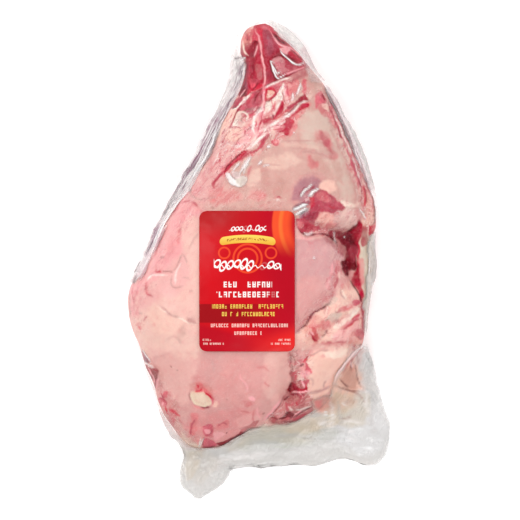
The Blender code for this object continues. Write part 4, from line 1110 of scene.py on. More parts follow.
    ("foot rim", "maroonPink", 0.8, 0.8, -0.3, [(-52.5, -175.5), (-46, -176), (-39.5, -174)]),
    ("rump rim dark", "maroonDeep", 0.9, 0.8, -0.4, [(-32, -173.5), (-27.5, -169.5), (-23, -166),
        (-17, -164.5), (-11.5, -162.5), (-6, -159)]),
    ("button red", "red", 0.9, 1.2, -0.3, [(-50, -123), (-46, -125.5), (-42.5, -129.5)]),
    ("button red two", "red", 0.9, 1.1, -0.2, [(-59.5, -123), (-56.5, -122), (-53.5, -121),
        (-52, -118.5)]),
    ("button red tick", "red", 0.8, 0.8, 0, [(-56.5, -116), (-56, -119)]),
    ("button line", "maroonPink", 0.9, 0.9, -0.4, [(-54.5, -136), (-50.5, -137), (-44, -136)]),
    ("button side line", "foldDark", 0.6, 0.9, -0.3, [(-63.5, -122.5), (-64, -126), (-63, -130.5)]),
    ("rump line", "palePink", 0.6, 1.0, 0.3, [(-18, -103.5), (-15.5, -110), (-10.5, -116),
        (-10, -123)]),
    ("rump line two", "duskRose", 0.7, 0.9, -0.2, [(-17, -140), (-12.5, -140.5), (-8, -142)]),
    ("rump line three", "duskRose", 0.6, 1.2, -0.3, [(-4, -138), (-5, -145.5), (-3.5, -152)]),
    ("rump line four", "palePink", 0.6, 1.1, 0.3, [(-1.5, -136), (-0.5, -143.5), (2.5, -148.5)]),
    ("rump line five", "duskRose", 0.55, 1.3, 0, [(4, -113), (9, -116), (11.5, -117.5)]),
    ("rump line six", "duskRose", 0.5, 1.6, 0, [(-1.5, -99), (5, -99.5), (10.5, -103)]),
    ("rump line seven", "rumpGrey", 0.7, 1.8, 0, [(-41.5, -90.5), (-42.5, -97), (-39.5, -104.5)]),
    ("rump tick", "foldDark", 0.7, 0.8, -0.2, [(3.5, -143.5), (6.5, -142)]),
    ("rump tick two", "foldDark", 0.4, 1.0, 0, [(-29.5, -129.5), (-28.5, -130)]),
    ("back line", "foldShade", 0.8, 0.9, -0.2, [(-63, 64.5), (-62, 59), (-55.5, 56), (-50, 55.5)]),
    ("back dot", "foldDark", 0.7, 0.9, -0.2, [(-63.5, 65), (-63, 64)]),
    ("back arc", "raggedRose", 0.55, 1.0, -0.2, [(-72, 51.5), (-66.5, 54), (-60, 52.5), (-54.5, 47)]),
    ("back arc low", "blush", 0.5, 1.4, 0, [(-54.5, 47), (-51.5, 42.5), (-52.5, 36)]),
    ("flank streak", "blush", 0.7, 2.6, 0, [(-72, 29.5), (-74, 22), (-76, 13.5)]),
    ("flank streak deep", "raggedRose", 0.4, 1.6, 0, [(-71, 29.5), (-74, 24.5)]),
    ("flank tick", "foldDark", 0.6, 0.9, -0.1, [(-91.5, 1.5), (-86, 2.5)]),
    ("flank rise", "blush", 0.6, 1.1, 0, [(-94.5, -6), (-94.5, -11.5)]),
    ("flank line red", "red", 0.7, 1.0, -0.2, [(-95.5, -11.5), (-89.5, -11.5)]),
    ("flank line", "foldDark", 0.6, 0.9, -0.2, [(-89.5, -11.5), (-84, -11), (-78.5, -12)]),
    ("flank loop", "foldShade", 0.8, 1.0, -0.3, [(-79.5, -11.5), (-76.5, -8), (-74, -2.5), (-70, 6)]),
    ("flank loop two", "foldShade", 0.7, 1.0, -0.3, [(-70, 6), (-67.5, 1.5), (-65.5, -3.5)]),
    ("flank loop three", "foldShade", 0.8, 1.0, -0.2, [(-79, -14.5), (-80.5, -20), (-80, -23.5),
        (-76, -26), (-68.5, -23.5)]),
    ("flank loop four", "foldShade", 0.6, 0.9, 0, [(-70, -16.5), (-66.5, -17), (-63.5, -16.5)]),
    ("flank loop light", "paleStrandAndHighlight", 0.5, 1.0, 0.2, [(-76.5, -23), (-76.5, -16.5), (-75, -10),
        (-71, -2.5)]),
    ("flank arc", "raggedRose", 0.75, 1.2, -0.3, [(-104.5, -22), (-104, -26.5), (-102.5, -31),
        (-97, -35)]),
    ("flank arc soft", "blush", 0.6, 2.4, 0, [(-103.5, -20), (-103, -26.5), (-101, -32)]),
    ("flank pleat", "foldShade", 0.85, 1.6, -0.5, [(-91.5, -41.5), (-87, -46), (-81.5, -50),
        (-71, -53.5)]),
    ("flank pleat box", "foldShade", 0.6, 3.4, -0.3, [(-64.5, -53.5), (-59, -56.5)]),
    ("flank spot", "raggedRose", 0.5, 1.5, 0, [(-116.5, -34), (-114.5, -39.5)]),
    ("flank spot two", "foldShade", 0.7, 0.9, 0, [(-111, -50), (-107.5, -50)]),
    ("flank spot three", "raggedRose", 0.6, 1.0, 0, [(-106.5, -57), (-104.5, -54.5), (-102, -52.5)]),
    ("flank spot five", "blush", 0.7, 1.2, 0, [(-111, -62), (-108.5, -65.5)]),
    ("round fold", "palePink", 0.8, 1.6, 0.4, [(68.5, -2.5), (67.5, -10), (67, -15.5)]),
    ("round fold low", "palePink", 0.6, 2.0, 0.3, [(67, -15.5), (64.5, -22), (63.5, -28.5)]),
    ("round fold pale", "creamPale", 0.5, 1.0, 0.3, [(74.5, -10.5), (75, -18)]),
    ("round fold shade", "raggedRose", 0.6, 1.0, -0.3, [(73, -16.5), (72.5, -21), (70, -27)]),
    ("round fold foot", "raggedRose", 0.6, 1.0, -0.2, [(68, -28.5), (67.5, -35)]),
    ("round fold rose", "blush", 0.6, 1.6, 0, [(77.5, -22), (78.5, -27.5)]),
    ("ridge streak", "foldShade", 0.8, 1.1, -0.3, [(76, -28.5), (76.5, -32), (79, -35), (80.5, -37.5)]),
    ("ridge streak pale", "creamPale", 0.8, 1.0, 0.3, [(77, -27.5), (79.5, -33), (82.5, -37.5)]),
    ("ridge tick", "raggedDull", 0.8, 0.9, -0.2, [(71, -47), (72, -49), (75, -48), (75.5, -45.5)]),
    ("ridge dots", "foldShade", 0.6, 1.0, -0.2, [(71, -59), (74, -57), (76, -56.5)]),
    ("ridge line", "red", 0.9, 0.9, -0.4, [(85.5, -57), (89.5, -53.5), (95, -50.5)]),
    ("ridge light", "strandPink", 0.9, 0.9, 0.4, [(79, -62), (84.5, -58.5), (89.5, -55.5), (95, -52)]),
    ("ridge line low", "raggedRose", 0.9, 1.1, -0.4, [(76, -64.5), (82.5, -62.5), (88, -58), (93, -55),
        (96.5, -54)]),
    ("ridge line foot", "red", 0.6, 0.9, 0, [(81.5, -63), (86, -60), (89.5, -57)]),
    ("side line", "deepRed", 0.85, 1.2, -0.4, [(97, -40.5), (96.5, -47), (97.5, -54.5), (99, -62),
        (99, -68.5), (97.5, -75)]),
    ("side line red", "red", 0.6, 1.2, 0, [(95.5, -52.5), (96.5, -58), (97, -65.5)]),
    ("ridge wrinkle one", "foldDark", 0.8, 0.9, -0.3, [(57.5, -72.5), (62, -68.5), (64.5, -66)]),
    ("ridge wrinkle deep", "maroonBrown", 0.8, 1.2, -0.3, [(61, -67), (64, -65.5)]),
    ("ridge wrinkle two", "foldDark", 0.7, 0.9, -0.3, [(60.5, -57), (63, -55.5), (65, -54)]),
    ("ridge wrinkle three", "foldShade", 0.7, 0.8, -0.2, [(60.5, -51.5), (61, -47), (63.5, -43.5)]),
    ("ridge wrinkle four", "foldShade", 0.6, 0.8, -0.2, [(63, -50.5), (64.5, -46), (65, -42.5)]),
    ("ridge wrinkle pale", "creamPale", 0.8, 0.8, 0.3, [(62, -52.5), (63, -47), (64.5, -43)]),
    ("ridge spot", "crimsonDark", 0.9, 1.0, -0.4, [(47, -67), (49.5, -71), (51, -74), (54, -75)]),
    ("ridge spot light", "palePink", 0.8, 0.9, 0.2, [(48.5, -66.5), (50.5, -70)]),
    ("ridge foot", "raggedRose", 0.5, 1.2, -0.4, [(61, -77.5), (71, -76.5), (81.5, -76.5)]),
    ("ridge foot brown", "foldDark", 0.7, 1.0, -0.3, [(91, -71.5), (95.5, -74.5)]),
    ("ridge foot tick", "maroonBrown", 0.8, 1.0, -0.3, [(93, -80.5), (96, -78.5)]),
    ("ridge foot red", "crimson", 0.8, 1.8, -0.3, [(88, -85), (89, -81.5), (89.5, -78.5)]),
    ("glare edge", "foldShade", 0.5, 0.8, -0.2, [(-31.5, 77.5), (-30, 74), (-27.5, 70), (-23.5, 67.5)]),
    ("glare rose", "raggedRose", 0.5, 1.4, 0, [(-7, 87), (-9, 81.5), (-9.5, 76)]),
    ("glare groove", "foldDark", 0.5, 0.8, -0.2, [(-10, 90.5), (-13, 85), (-16, 80.5)]),
    ("cuff mauve", "raggedRose", 0.7, 1.5, 0, [(-8, 151), (-10, 146.5), (-11.5, 142)]),
    ("knot five", "maroon", 0.85, 0.8, -0.2, [(-1.5, 153), (-3, 149.5), (-4, 145.5)]),
    ("knot six", "maroon", 0.8, 0.7, -0.2, [(3, 153), (2, 149.5)]),
    ("strand low", "paleStrandAndHighlight", 1.0, 1.1, 0.4, [(13.5, 119.5), (6, 116), (0.5, 110), (-5, 105.5),
        (-10.5, 101.5)]),
    ("strand low shade", "neckRose", 0.7, 0.8, -0.2, [(10.5, 116.5), (4, 112), (-1.5, 107)]),
    ("upper crease", "foldShade", 0.8, 0.9, -0.2, [(37.5, 98), (46, 99), (55.5, 97.5), (63.5, 96.5)]),
    ("upper crease two", "foldShade", 0.6, 1.0, -0.2, [(27.5, 102.5), (42.5, 102), (59, 100.5)]),
    ("upper crease three", "foldShade", 0.6, 0.8, -0.2, [(3.5, 88), (10.5, 87.5), (21, 87)]),
    ("upper crease four", "foldShade", 0.5, 1.0, -0.2, [(-2.5, 66.5), (3.5, 76), (7, 83)]),
    ("upper tick", "raggedRose", 0.8, 0.9, -0.2, [(16.5, 56.5), (19, 58), (21.5, 56.5)]),
    ("upper tick pale", "paleStrandAndHighlight", 0.8, 0.8, 0.2, [(16.5, 54.5), (18, 55.5), (20, 54.5)]),
    ("right stripe deep", "crimson", 0.2, 3, -0.3, [(59, 152), (70, 150), (83, 128), (92.5, 102),
        (103.5, 63), (109.5, 35), (98, 29.5), (89, 50), (87, 70), (77.5, 96.5), (66.5, 122.5)]),
    ("right stripe pale", "paleStrandAndHighlight", 0.6, 0.9, 0.2, [(80.5, 111), (87, 96.5), (91.5, 81.5),
        (95.5, 70)]),
    ("right stripe rose", "neckRose", 0.7, 0.9, 0, [(76.5, 113), (82.5, 100), (88, 85), (91.5, 72),
        (93.5, 59)]),
    ("flank crease", "foldShade", 0.45, 1.2, -0.2, [(-54.5, 25.5), (-60, 18), (-63.5, 9)]),
    ("flank crease two", "foldShade", 0.35, 1.6, -0.2, [(-87, -75), (-76.5, -71), (-71, -79.5)]),
    ("flank arch", "paleStrandAndHighlight", 0.6, 1.0, 0.2, [(-103, -20), (-99, -14.5), (-93.5, -14),
        (-84, -14.5)]),
    ("neck deep 1", "crimson", 0.8, 0.9, -0.2, [(7, 130.5), (2.5, 128), (1, 123)]),
    ("neck deep 2", "crimsonDark", 0.8, 0.8, -0.2, [(23, 144.5), (21, 140), (18, 136), (15.5, 133)]),
    ("neck deep 3", "red", 0.7, 0.9, 0, [(29.5, 139), (23.5, 136), (19, 131.5), (13.5, 129)]),
    ("neck deep 4", "red", 0.6, 0.9, 0, [(-10.5, 144.5), (-8, 147.5), (-6, 151)]),
    ("neck deep 5", "maroon", 0.8, 0.8, -0.2, [(40.5, 145), (35, 142), (30, 137.5), (25.5, 134.5)]),
    ("neck light 1", "fatWhite", 0.9, 0.9, 0.3, [(9, 143), (10, 138), (8, 133.5)]),
    ("neck light 2", "gleam", 0.7, 0.8, 0.3, [(18, 153), (21, 157.5), (23, 161.5)]),
    ("neck light 3", "fatWhite", 0.8, 0.9, 0.3, [(-19, 136), (-14.5, 137), (-10, 133.5), (-11.5, 128)]),
    ("neck light 4", "paleStrandAndHighlight", 0.8, 0.8, 0.3, [(16.5, 125), (22, 126), (25.5, 128.5)]),
    ("neck light 5", "paleStrandAndHighlight", 0.7, 0.8, 0.3, [(3.5, 117.5), (9, 120.5), (14.5, 121.5)]),
    ("neck light 6", "creamPale", 0.7, 1.0, 0.3, [(-10.5, 106.5), (-6, 110), (-0.5, 114)]),
    ("neck light 7", "paleStrandAndHighlight", 0.6, 0.8, 0.3, [(-24.5, 100), (-18, 104.5), (-11.5, 108.5)]),
    ("button edge", "neckRose", 0.8, 0.9, -0.3, [(-43.5, -127), (-42.5, -130.5), (-43, -135)]),
    ("button edge low", "blush", 0.7, 1.2, -0.2, [(-61, -134.5), (-56.5, -137), (-49, -138.5)]),
    ("corner cream", "creamPale", 0.8, 1.6, 0.2, [(-69.5, -168.5), (-63.5, -172), (-57, -174)]),
    ("rump fleck line 1", "raggedRose", 0.7, 0.9, -0.1, [(-91.5, -123), (-89, -128), (-87, -132.5)]),
    ("rump fleck line 2", "palePink", 0.8, 0.9, 0.2, [(-88.5, -132.5), (-89.5, -136)]),
    ("notch strand pale", "palePink", 0.8, 0.8, 0.3, [(-104, -99), (-101, -103.5), (-97.5, -110),
        (-96.5, -117.5)]),
    ("notch strand pale two", "gleam", 0.6, 0.7, 0.3, [(-106.5, -95.5), (-102, -97.5), (-96.5, -100)]),
    ("neck fine 1", "raggedRose", 0.7, 0.8, -0.1, [(-27.5, 119.5), (-31, 114), (-34, 105.5)]),
    ("neck fine 2", "paleStrandAndHighlight", 0.7, 0.8, 0.2, [(-30, 108.5), (-24.5, 105.5), (-17, 105)]),
    ("neck fine 3", "blush", 0.7, 1.0, 0, [(-27.5, 103.5), (-21, 102), (-14.5, 103.5)]),
    ("neck fine 4", "paleStrandAndHighlight", 0.7, 0.8, 0.2, [(-42.5, 85), (-39.5, 92.5), (-36.5, 100)]),
    ("neck fine 5", "paleStrandAndHighlight", 0.6, 0.8, 0.2, [(-8, 152), (-12.5, 147.5), (-17, 143)]),
    ("neck fine 6", "maroonPink", 0.7, 0.7, -0.1, [(-11.5, 118.5), (-9, 121.5), (-6, 122.5)]),
    ("neck fine 7", "raggedRose", 0.7, 0.8, -0.1, [(3.5, 124), (7, 126), (12.5, 127)]),
    ("neck fine 8", "neckRose", 0.7, 0.8, 0, [(6, 118.5), (2.5, 116.5), (-1.5, 112)]),
    ("right rim rose", "raggedRose", 0.8, 1.9, -0.2, [(96.5, -41.5), (97.5, -52.5), (97, -65.5),
        (96, -76.5)]),
    ("right fold rose", "raggedRose", 0.6, 1.4, -0.2, [(77.5, -67.5), (84, -60), (90.5, -54.5),
        (95.5, -49)]),
    ("right fold pale", "fatWhite", 0.7, 1.3, 0.2, [(74, -63.5), (81.5, -57), (89, -50.5),
        (94.5, -45)]),
]


# how much the fat is broken up by a net of red, by place: amount, edge, outline
lambMarbling = [
    ("shank", 0.2, 6, [(-17, 213.5), (3.5, 221), (24.5, 209), (50, 182), (20, 169), (-17, 152),
        (-19, 185.5)]),
    ("neck", 0.5, 8, [(-19, 152), (3.5, 161.5), (24.5, 169), (38.5, 165), (50, 153), (44, 137),
        (29.5, 118.5), (10.5, 102), (-12.5, 88), (-31, 76), (-41.5, 77.5), (-39.5, 102), (-30, 131.5)]),
    ("upper back", 0.25, 10, [(-34, 137), (-22, 139), (-8, 102), (-31, 74), (-54.5, 41.5), (-73, 18),
        (-82.5, 23), (-63.5, 64.5), (-45, 111)]),
    ("behind the label", 0.2, 10, [(-73, 60), (-54.5, 59), (-22, 74), (3.5, 64.5), (29.5, 48),
        (-54.5, 44), (-73, 27.5)]),
    ("leg edge", 0.5, 6, [(53.5, 159.5), (66.5, 153), (87, 116), (100, 78.5), (109.5, 50.5),
        (105.5, 25.5), (96.5, 32), (90.5, 64.5), (76, 102), (63, 134.5)]),
    ("flank edge", 0.25, 9, [(-101, 23), (-87, 32), (-84, 9), (-93.5, -23.5), (-104.5, -37.5),
        (-101, -65.5), (-114, -70), (-123, -47), (-119.5, -23.5), (-108.5, -2.5)]),
    ("open muscle", 0.35, 5, [(31, 38.5), (48, 60), (80.5, 55.5), (94.5, 32), (85, 18), (57, 22),
        (35, 25.5)]),
    ("ridged fat", 0.25, 6, [(67.5, -35), (81.5, -21), (94.5, -36), (100, -56.5), (96.5, -79.5),
        (66.5, -84), (38.5, -78.5), (33, -69.5), (48, -54.5)]),
    ("round edge", 0.25, 7, [(66.5, 13.5), (79.5, 4), (76, -23.5), (66.5, -37.5), (48, -54.5),
        (38.5, -65.5), (35, -54.5), (55.5, -34), (64.5, -10)]),
    ("ragged meat", 0.4, 5, [(27.5, -85), (50, -84), (50, -107.5), (51.5, -126), (70, -127),
        (64.5, -138), (48, -149.5), (29.5, -156.5), (3.5, -153), (22, -132.5), (29.5, -112)]),
    ("rump left edge", 0.2, 8, [(-95.5, -108.5), (-86, -112), (-71, -135.5), (-63.5, -154),
        (-50.5, -168), (-54.5, -177), (-73, -166), (-89.5, -142)]),
    ("rump top", 0.06, 14, [(-58, -99), (3.5, -91.5), (22, -103), (16.5, -130.5), (-17, -144.5),
        (-50, -126)]),
]


def marbling(x, y):
    amount = np.full(x.shape, 0.05)
    for name, strength, edge, points in lambMarbling:
        weight = markWeight(x.ravel(), y.ravel(), points, edge, True).reshape(x.shape)
        amount = np.maximum(amount, strength * weight)
    return amount


def lambUnderTone(x, y, depth):
    # fat with pale and pink clouds; where the side turns under, bare muscle shows in ragged islands
    clouds = cloudNoise(x, y + 0.6 * depth, 24, 5)[..., None]
    ragged = cloudNoise(x * 0.8, y + 1.3 * depth, 17, 15)[..., None]
    fat = linear(*palette["beigePink"]) * (0.5 + 0.5 * clouds) + linear(*palette["rosePale"]) * (0.5 - 0.5 * clouds)
    meat = linear(*palette["muscle"]) * (0.5 + 0.4 * clouds) + linear(*palette["raggedRose"]) * (0.5 - 0.4 * clouds)
    seam = linear(*palette["creamPale"])
    share = smoothStep(0.05, 0.30, ragged) * smoothStep(0, 14, depth)[..., None]
    tone = fat * (1 - share) + meat * share
    edge = smoothStep(0.02, 0.06, ragged) * smoothStep(0.14, 0.09, ragged) * 0.6
    return tone * (1 - edge) + seam * edge


def lambRings():
    # rings across the leg: over the top from +X to -X, then back under it
    foot, tip = lamb["left"][0][0], lamb["left"][-1][0]
    turn = np.linspace(0, np.pi, lamb["rows"])
    even = np.linspace(foot, tip, lamb["rows"])
    y = 0.62 * even + 0.38 * (foot + tip - (tip - foot) * np.cos(turn)) / 2
    top = np.linspace(1, -1, lamb["topColumns"])
    base = np.linspace(-1, 1, lamb["baseColumns"] + 2)[1:-1]
    across = np.concatenate([0.42 * top + 0.58 * np.sin(top * np.pi / 2), np.sin(base * np.pi / 2)])
    middle, half, _, _ = lambSection(y)
    x = middle[:, None] + half[:, None] * across[None, :]
    return x, np.repeat(y[:, None], x.shape[1], axis=1)


def makeLamb():
    x, y = lambRings()
    isTop = np.arange(x.shape[1]) < lamb["topColumns"]
    _, _, side, _ = lambSection(y)
    z = np.where(isTop, lambTop(x, y), lambBase(x, y))
    depth = np.where(isTop, 0, side - z)
    tone, lift, cover = paint(x, y, lambUnderTone(x, y, depth), lambPatches, lambStrokes)
    facesUp = smoothStep(9, 1, depth)
    under = lambUnderTone(x, y, depth)
    tone = under + facesUp[..., None] * (tone - under)
    rise = np.clip(lift, -3, 0.5) * isTop
    piece = ringMesh("legMeat", np.stack([x, y, z + rise], axis=-1), lambFinish())
    colourAttribute(piece, "tone", tone)
    redness = smoothStep(0.60, 0.88, 1 - tone[..., 1] / tone[..., 0])
    numberAttribute(piece, "redness", redness)
    numberAttribute(piece, "marbling", np.where(isTop, marbling(x, y), 0.45) * (1 - 0.8 * redness))
    return piece


def lambFinish():
    # painted tone; a net of red veins and pale strands where it is marbled, the pale strands and their dark red edges
    # also painting the highlights and shade of fine wrinkles; fibres where it is red
    finish = Finish("lambFlesh")
    place = finish.add("ShaderNodeTexCoord", output=3)
    tone = finish.attribute("tone", isColour=True)
    redness = finish.attribute("redness")
    amount = finish.attribute("marbling")
    drawn = finish.stretched(place, 1.9, 48)
    clouds = finish.noise(place, 62, 2, 0.5)
    mottle = finish.noise(place, 240, 2, 0.5, 0.6)
    grains = finish.noise(place, 1100, 2, 0.5)
    blots = finish.noise(drawn, 120, 3, 0.6, 0.7)
    net = finish.noise(drawn, 190, 2, 0.5, 1.0)
    fine = finish.noise(place, 480, 2, 0.5, 0.8)
    base = finish.mix(0.30, tone, finish.mix(clouds, (0.30, 0.30, 0.30, 1), (0.70, 0.70, 0.70, 1)), "SOFT_LIGHT")
    fat = 1 - redness
    base = finish.mix(finish.band(mottle, 0.50, 0.70) * fat * 0.14, base, colour("blush"))
    paleSpeck = finish.band(fine, 0.56, 0.74) * fat * 0.13
    base = finish.mix(paleSpeck, base, colour("creamPale"))
    base = finish.mix(finish.band(blots, 0.50, 0.62) * amount * 0.9, base, colour("neckRose"))
    base = finish.mix(finish.band(blots, 0.60, 0.70) * amount * 0.9, base, colour("red"))
    base = finish.mix(finish.band(net, 0.54, 0.62) * amount * 0.65, base, colour("creamPale"))
    # pale lines and the dark red lines beside them: painted highlights and painted shade of fine wrinkles, as well as
    # strands and veins
    base = finish.mix(finish.line(net, 0.505, 0.022) * amount, base, colour("paleStrandAndHighlight"))
    base = finish.mix(finish.line(net, 0.46, 0.018) * amount * 0.9, base, colour("maroonPink"))
    base = finish.mix(finish.line(fine, 0.42, 0.02) * amount * 0.5, base, colour("raggedRose"))
    fibres = finish.noise(finish.stretched(place, 4.0, 60), 900, 3, 0.6, 0.6)
    base = finish.mix(finish.band(fibres, 0.46, 0.60) * redness * 0.35, base, colour("deepRed"))
    base = finish.mix(finish.band(fibres, 0.60, 0.72) * redness * 0.30, base, colour("blush"))
    base = finish.mix(finish.band(mottle, 0.52, 0.66) * redness * 0.25, base, colour("neckRose"))
    rough = finish.band(mottle, 0.3, 0.7, 0.40, 0.56) - redness * 0.08
    height = mottle * 0.45 + grains * 0.05 + fibres * redness * 0.5 + clouds * 0.9 + net * amount * 1.2
    return finish.surface({
        "Base Color": base, "Roughness": rough, "Normal": finish.bump(height, 0.4, 0.0012),
        "Subsurface Weight": 0.04, "Subsurface Radius": (1.0, 0.42, 0.30), "Subsurface Scale": 0.0015,
        "Coat Weight": finish.band(clouds, 0.3, 0.7, 0.02, 0.12), "Coat Roughness": 0.16,
        "Specular IOR Level": 0.08,
    })


print("leg of lamb")
legMeat = makeLamb()
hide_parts("sealed_bag")
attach(legMeat, "root")


# ---- the film bag

filmPatches = [
    ("left band", "filmPurple", 0.6, 6, 0, [(-34, 139), (-39.5, 126), (-47, 111), (-56.5, 94.5),
        (-65.5, 79.5), (-76.5, 63), (-88, 46), (-99, 22), (-103, 18), (-93.5, 40.5), (-78.5, 66.5),
        (-62, 92.5), (-49, 118.5), (-39.5, 137)]),
    ("left band low", "bandPink", 0.4, 3, 0, [(-91.5, 35), (-84, 42.5), (-93.5, 20), (-102, -2.5),
        (-109.5, -17), (-116, -19), (-110, -2.5), (-103, 16.5)]),
    ("purge shelf", "tan", 0.8, 8, 3.0, [(77.5, -104.5), (88, -91.5), (92.5, -99), (96.5, -116),
        (98, -130.5), (87, -142), (70, -145.5), (55.5, -142), (66.5, -130.5), (70, -119.5)]),
    ("purge inner", "tanRose", 0.6, 4, 1.0, [(79.5, -104.5), (87, -99), (91.5, -107.5), (92.5, -117.5),
        (85, -117.5), (76.5, -111)]),
    ("purge foot", "tanPale", 0.6, 6, 0.5, [(38.5, -149.5), (66.5, -143.5), (96.5, -132.5),
        (100, -143.5), (76, -155), (44, -162.5), (20, -160.5)]),
    ("skirt tan", "filmTan", 0.6, 9, 0, [(-24.5, -173.5), (3.5, -155), (38.5, -153), (57, -160.5),
        (38.5, -171.5), (3.5, -169.5), (-24.5, -177)]),
    ("flap tan", "filmTan", 0.4, 5, 0, [(-73, -173.5), (-56.5, -179), (-52.5, -186.5), (-63.5, -205),
        (-69.5, -203), (-67.5, -186.5)]),
    ("right film", "filmWarm", 0.85, 5, 0, [(103, 20), (109.5, 18), (110, -8), (105.5, -28.5),
        (102, -49), (100, -37.5), (102, -10)]),
    ("right shoulder", "filmCool", 0.5, 4, 0, [(98, -82.5), (103, -84), (107.5, -99), (103.5, -108.5),
        (100, -99)]),
    ("top corner", "filmPale", 0.5, 4, 0, [(15.5, 221), (23, 219), (41.5, 200.5), (57, 180),
        (46, 185.5), (27.5, 202.5), (18, 213.5)]),
    ("smear", "smear", 0.6, 6, 0, [(52.5, -131.5), (57, -128.5), (63.5, -127), (68.5, -131.5),
        (67.5, -137), (62, -140), (54.5, -139)]),
    ("smear deep", "raggedRose", 0.5, 6, 0, [(54.5, -131.5), (59, -129.5), (60, -137), (55.5, -138)]),
    ("fold wedge", "tanRose", 0.75, 4, 0, [(76.5, -112), (78.5, -106.5), (85, -97), (91.5, -112),
        (92.5, -120.5), (83, -119.5)]),
    ("skirt dusk", "filmTan", 0.55, 7, 0, [(3.5, -154), (22, -155), (38.5, -153), (59, -151),
        (55.5, -159.5), (29.5, -161.5), (3.5, -160.5)]),
    ("skirt right", "filmCool", 0.75, 9, 0, [(94.5, -123), (115, -135.5), (122.5, -168), (103.5, -182),
        (76, -177), (71, -160.5), (85, -140)]),
    ("skirt green", "skirtGreen", 0.35, 6, 0, [(3.5, -158.5), (38.5, -160.5), (66.5, -156.5),
        (76, -164), (57, -172.5), (20, -176), (-17, -176)]),
    ("skirt left", "filmTan", 0.2, 8, 0, [(-67.5, -179), (-40.5, -182), (-40.5, -197.5), (-56.5, -209),
        (-69.5, -196)]),
    ("cap top", "filmPale", 0.55, 3, 0, [(3.5, 224.5), (23.5, 219), (38.5, 206), (44, 189.5),
        (35, 198.5), (20, 213.5)]),
    ("right band", "bandPurple", 0.5, 3, 0, [(63, 161.5), (69.5, 156), (79.5, 137), (90.5, 113),
        (100, 87), (107.5, 59), (103, 66.5), (94.5, 85), (85, 108.5), (74, 133.5), (65.5, 151)]),
    ("right band outer", "bandGrey", 0.45, 3, 0, [(66.5, 167), (77.5, 150), (89, 128), (98, 105.5),
        (106.5, 81.5), (110, 59), (104.5, 72), (96.5, 97), (85, 124), (74, 146.5)]),
    ("left band core", "bandPurple", 0.4, 3, 0, [(-14.5, 183.5), (-13.5, 172.5), (-19, 157.5),
        (-28.5, 143), (-34, 133.5), (-36.5, 135.5), (-28.5, 150), (-21, 167), (-17, 182)]),
    ("glare triangle", "gleam", 0.85, 1.6, 0.3, [(-30.5, 79.5), (-26.5, 80), (-24.5, 76.5), (-20, 72),
        (-17, 68), (-23.5, 68), (-27.5, 73)]),
    ("glare cream", "gleamWarm", 0.7, 1.8, 0.2, [(-21, 75), (-11.5, 76), (-10.5, 71), (-15.5, 67.5),
        (-19, 68.5)]),
    ("glare pink", "gleamPink", 0.6, 1.5, 0.1, [(-24.5, 80.5), (-17, 80.5), (-17, 75), (-22, 75)]),
    ("band outer", "bandPurple", 0.45, 3, 0, [(-41.5, 131.5), (-36.5, 129), (-47, 107.5), (-58, 90.5),
        (-69.5, 76), (-76.5, 66.5), (-65.5, 85), (-52.5, 109.5)]),
    ("right film low", "filmWarm", 0.5, 5, 0, [(102, -23.5), (108.5, -28.5), (107.5, -47),
        (102, -65.5), (98, -70), (99, -49)]),
    ("right film grey", "rimGrey", 0.5, 3, 0, [(106.5, 25.5), (111, 18), (112, -8), (107.5, -23.5),
        (104.5, -19), (107.5, -2.5)]),
    ("band end", "bandPink", 0.3, 3, 0, [(-103.5, 7), (-101, 3.5), (-108.5, -11.5), (-116, -21),
        (-118.5, -19), (-112, -6)]),
    ("fold warm", "foldRose", 0.35, 4, 0, [(84, -80.5), (96.5, -80.5), (98, -89.5), (94.5, -101),
        (85, -103), (81.5, -91.5)]),
    ("fold warm low", "foldDeep", 0.34, 5, 0, [(50, -129), (61, -127), (70, -129), (70, -138),
        (63, -142), (51.5, -140)]),
    ("shank haze", "hazeRose", 0.35, 4, 0, [(40.5, 198.5), (53.5, 198.5), (61, 185.5), (63, 169),
        (50, 165), (42.5, 180)]),
    ("corner haze", "hazeRose", 0.22, 4, 0, [(-91.5, -142), (-76.5, -143.5), (-69.5, -158.5),
        (-58, -168), (-65.5, -177), (-78.5, -168), (-89.5, -155)]),
    ("right shade", "filmShade", 0.2, 5, 0, [(102, -95.5), (116.5, -101), (118.5, -129),
        (103.5, -132.5), (100, -112)]),
    ("band shade", "bandPurple", 0.2, 4, 0, [(-76.5, 72), (-65.5, 83), (-60, 74), (-71, 61)]),
    ("purge beige", "purgeBeige", 0.45, 6, 0, [(70, -125), (85, -125), (102, -127), (105.5, -142),
        (92.5, -156.5), (72, -155), (63, -145.5)]),
]

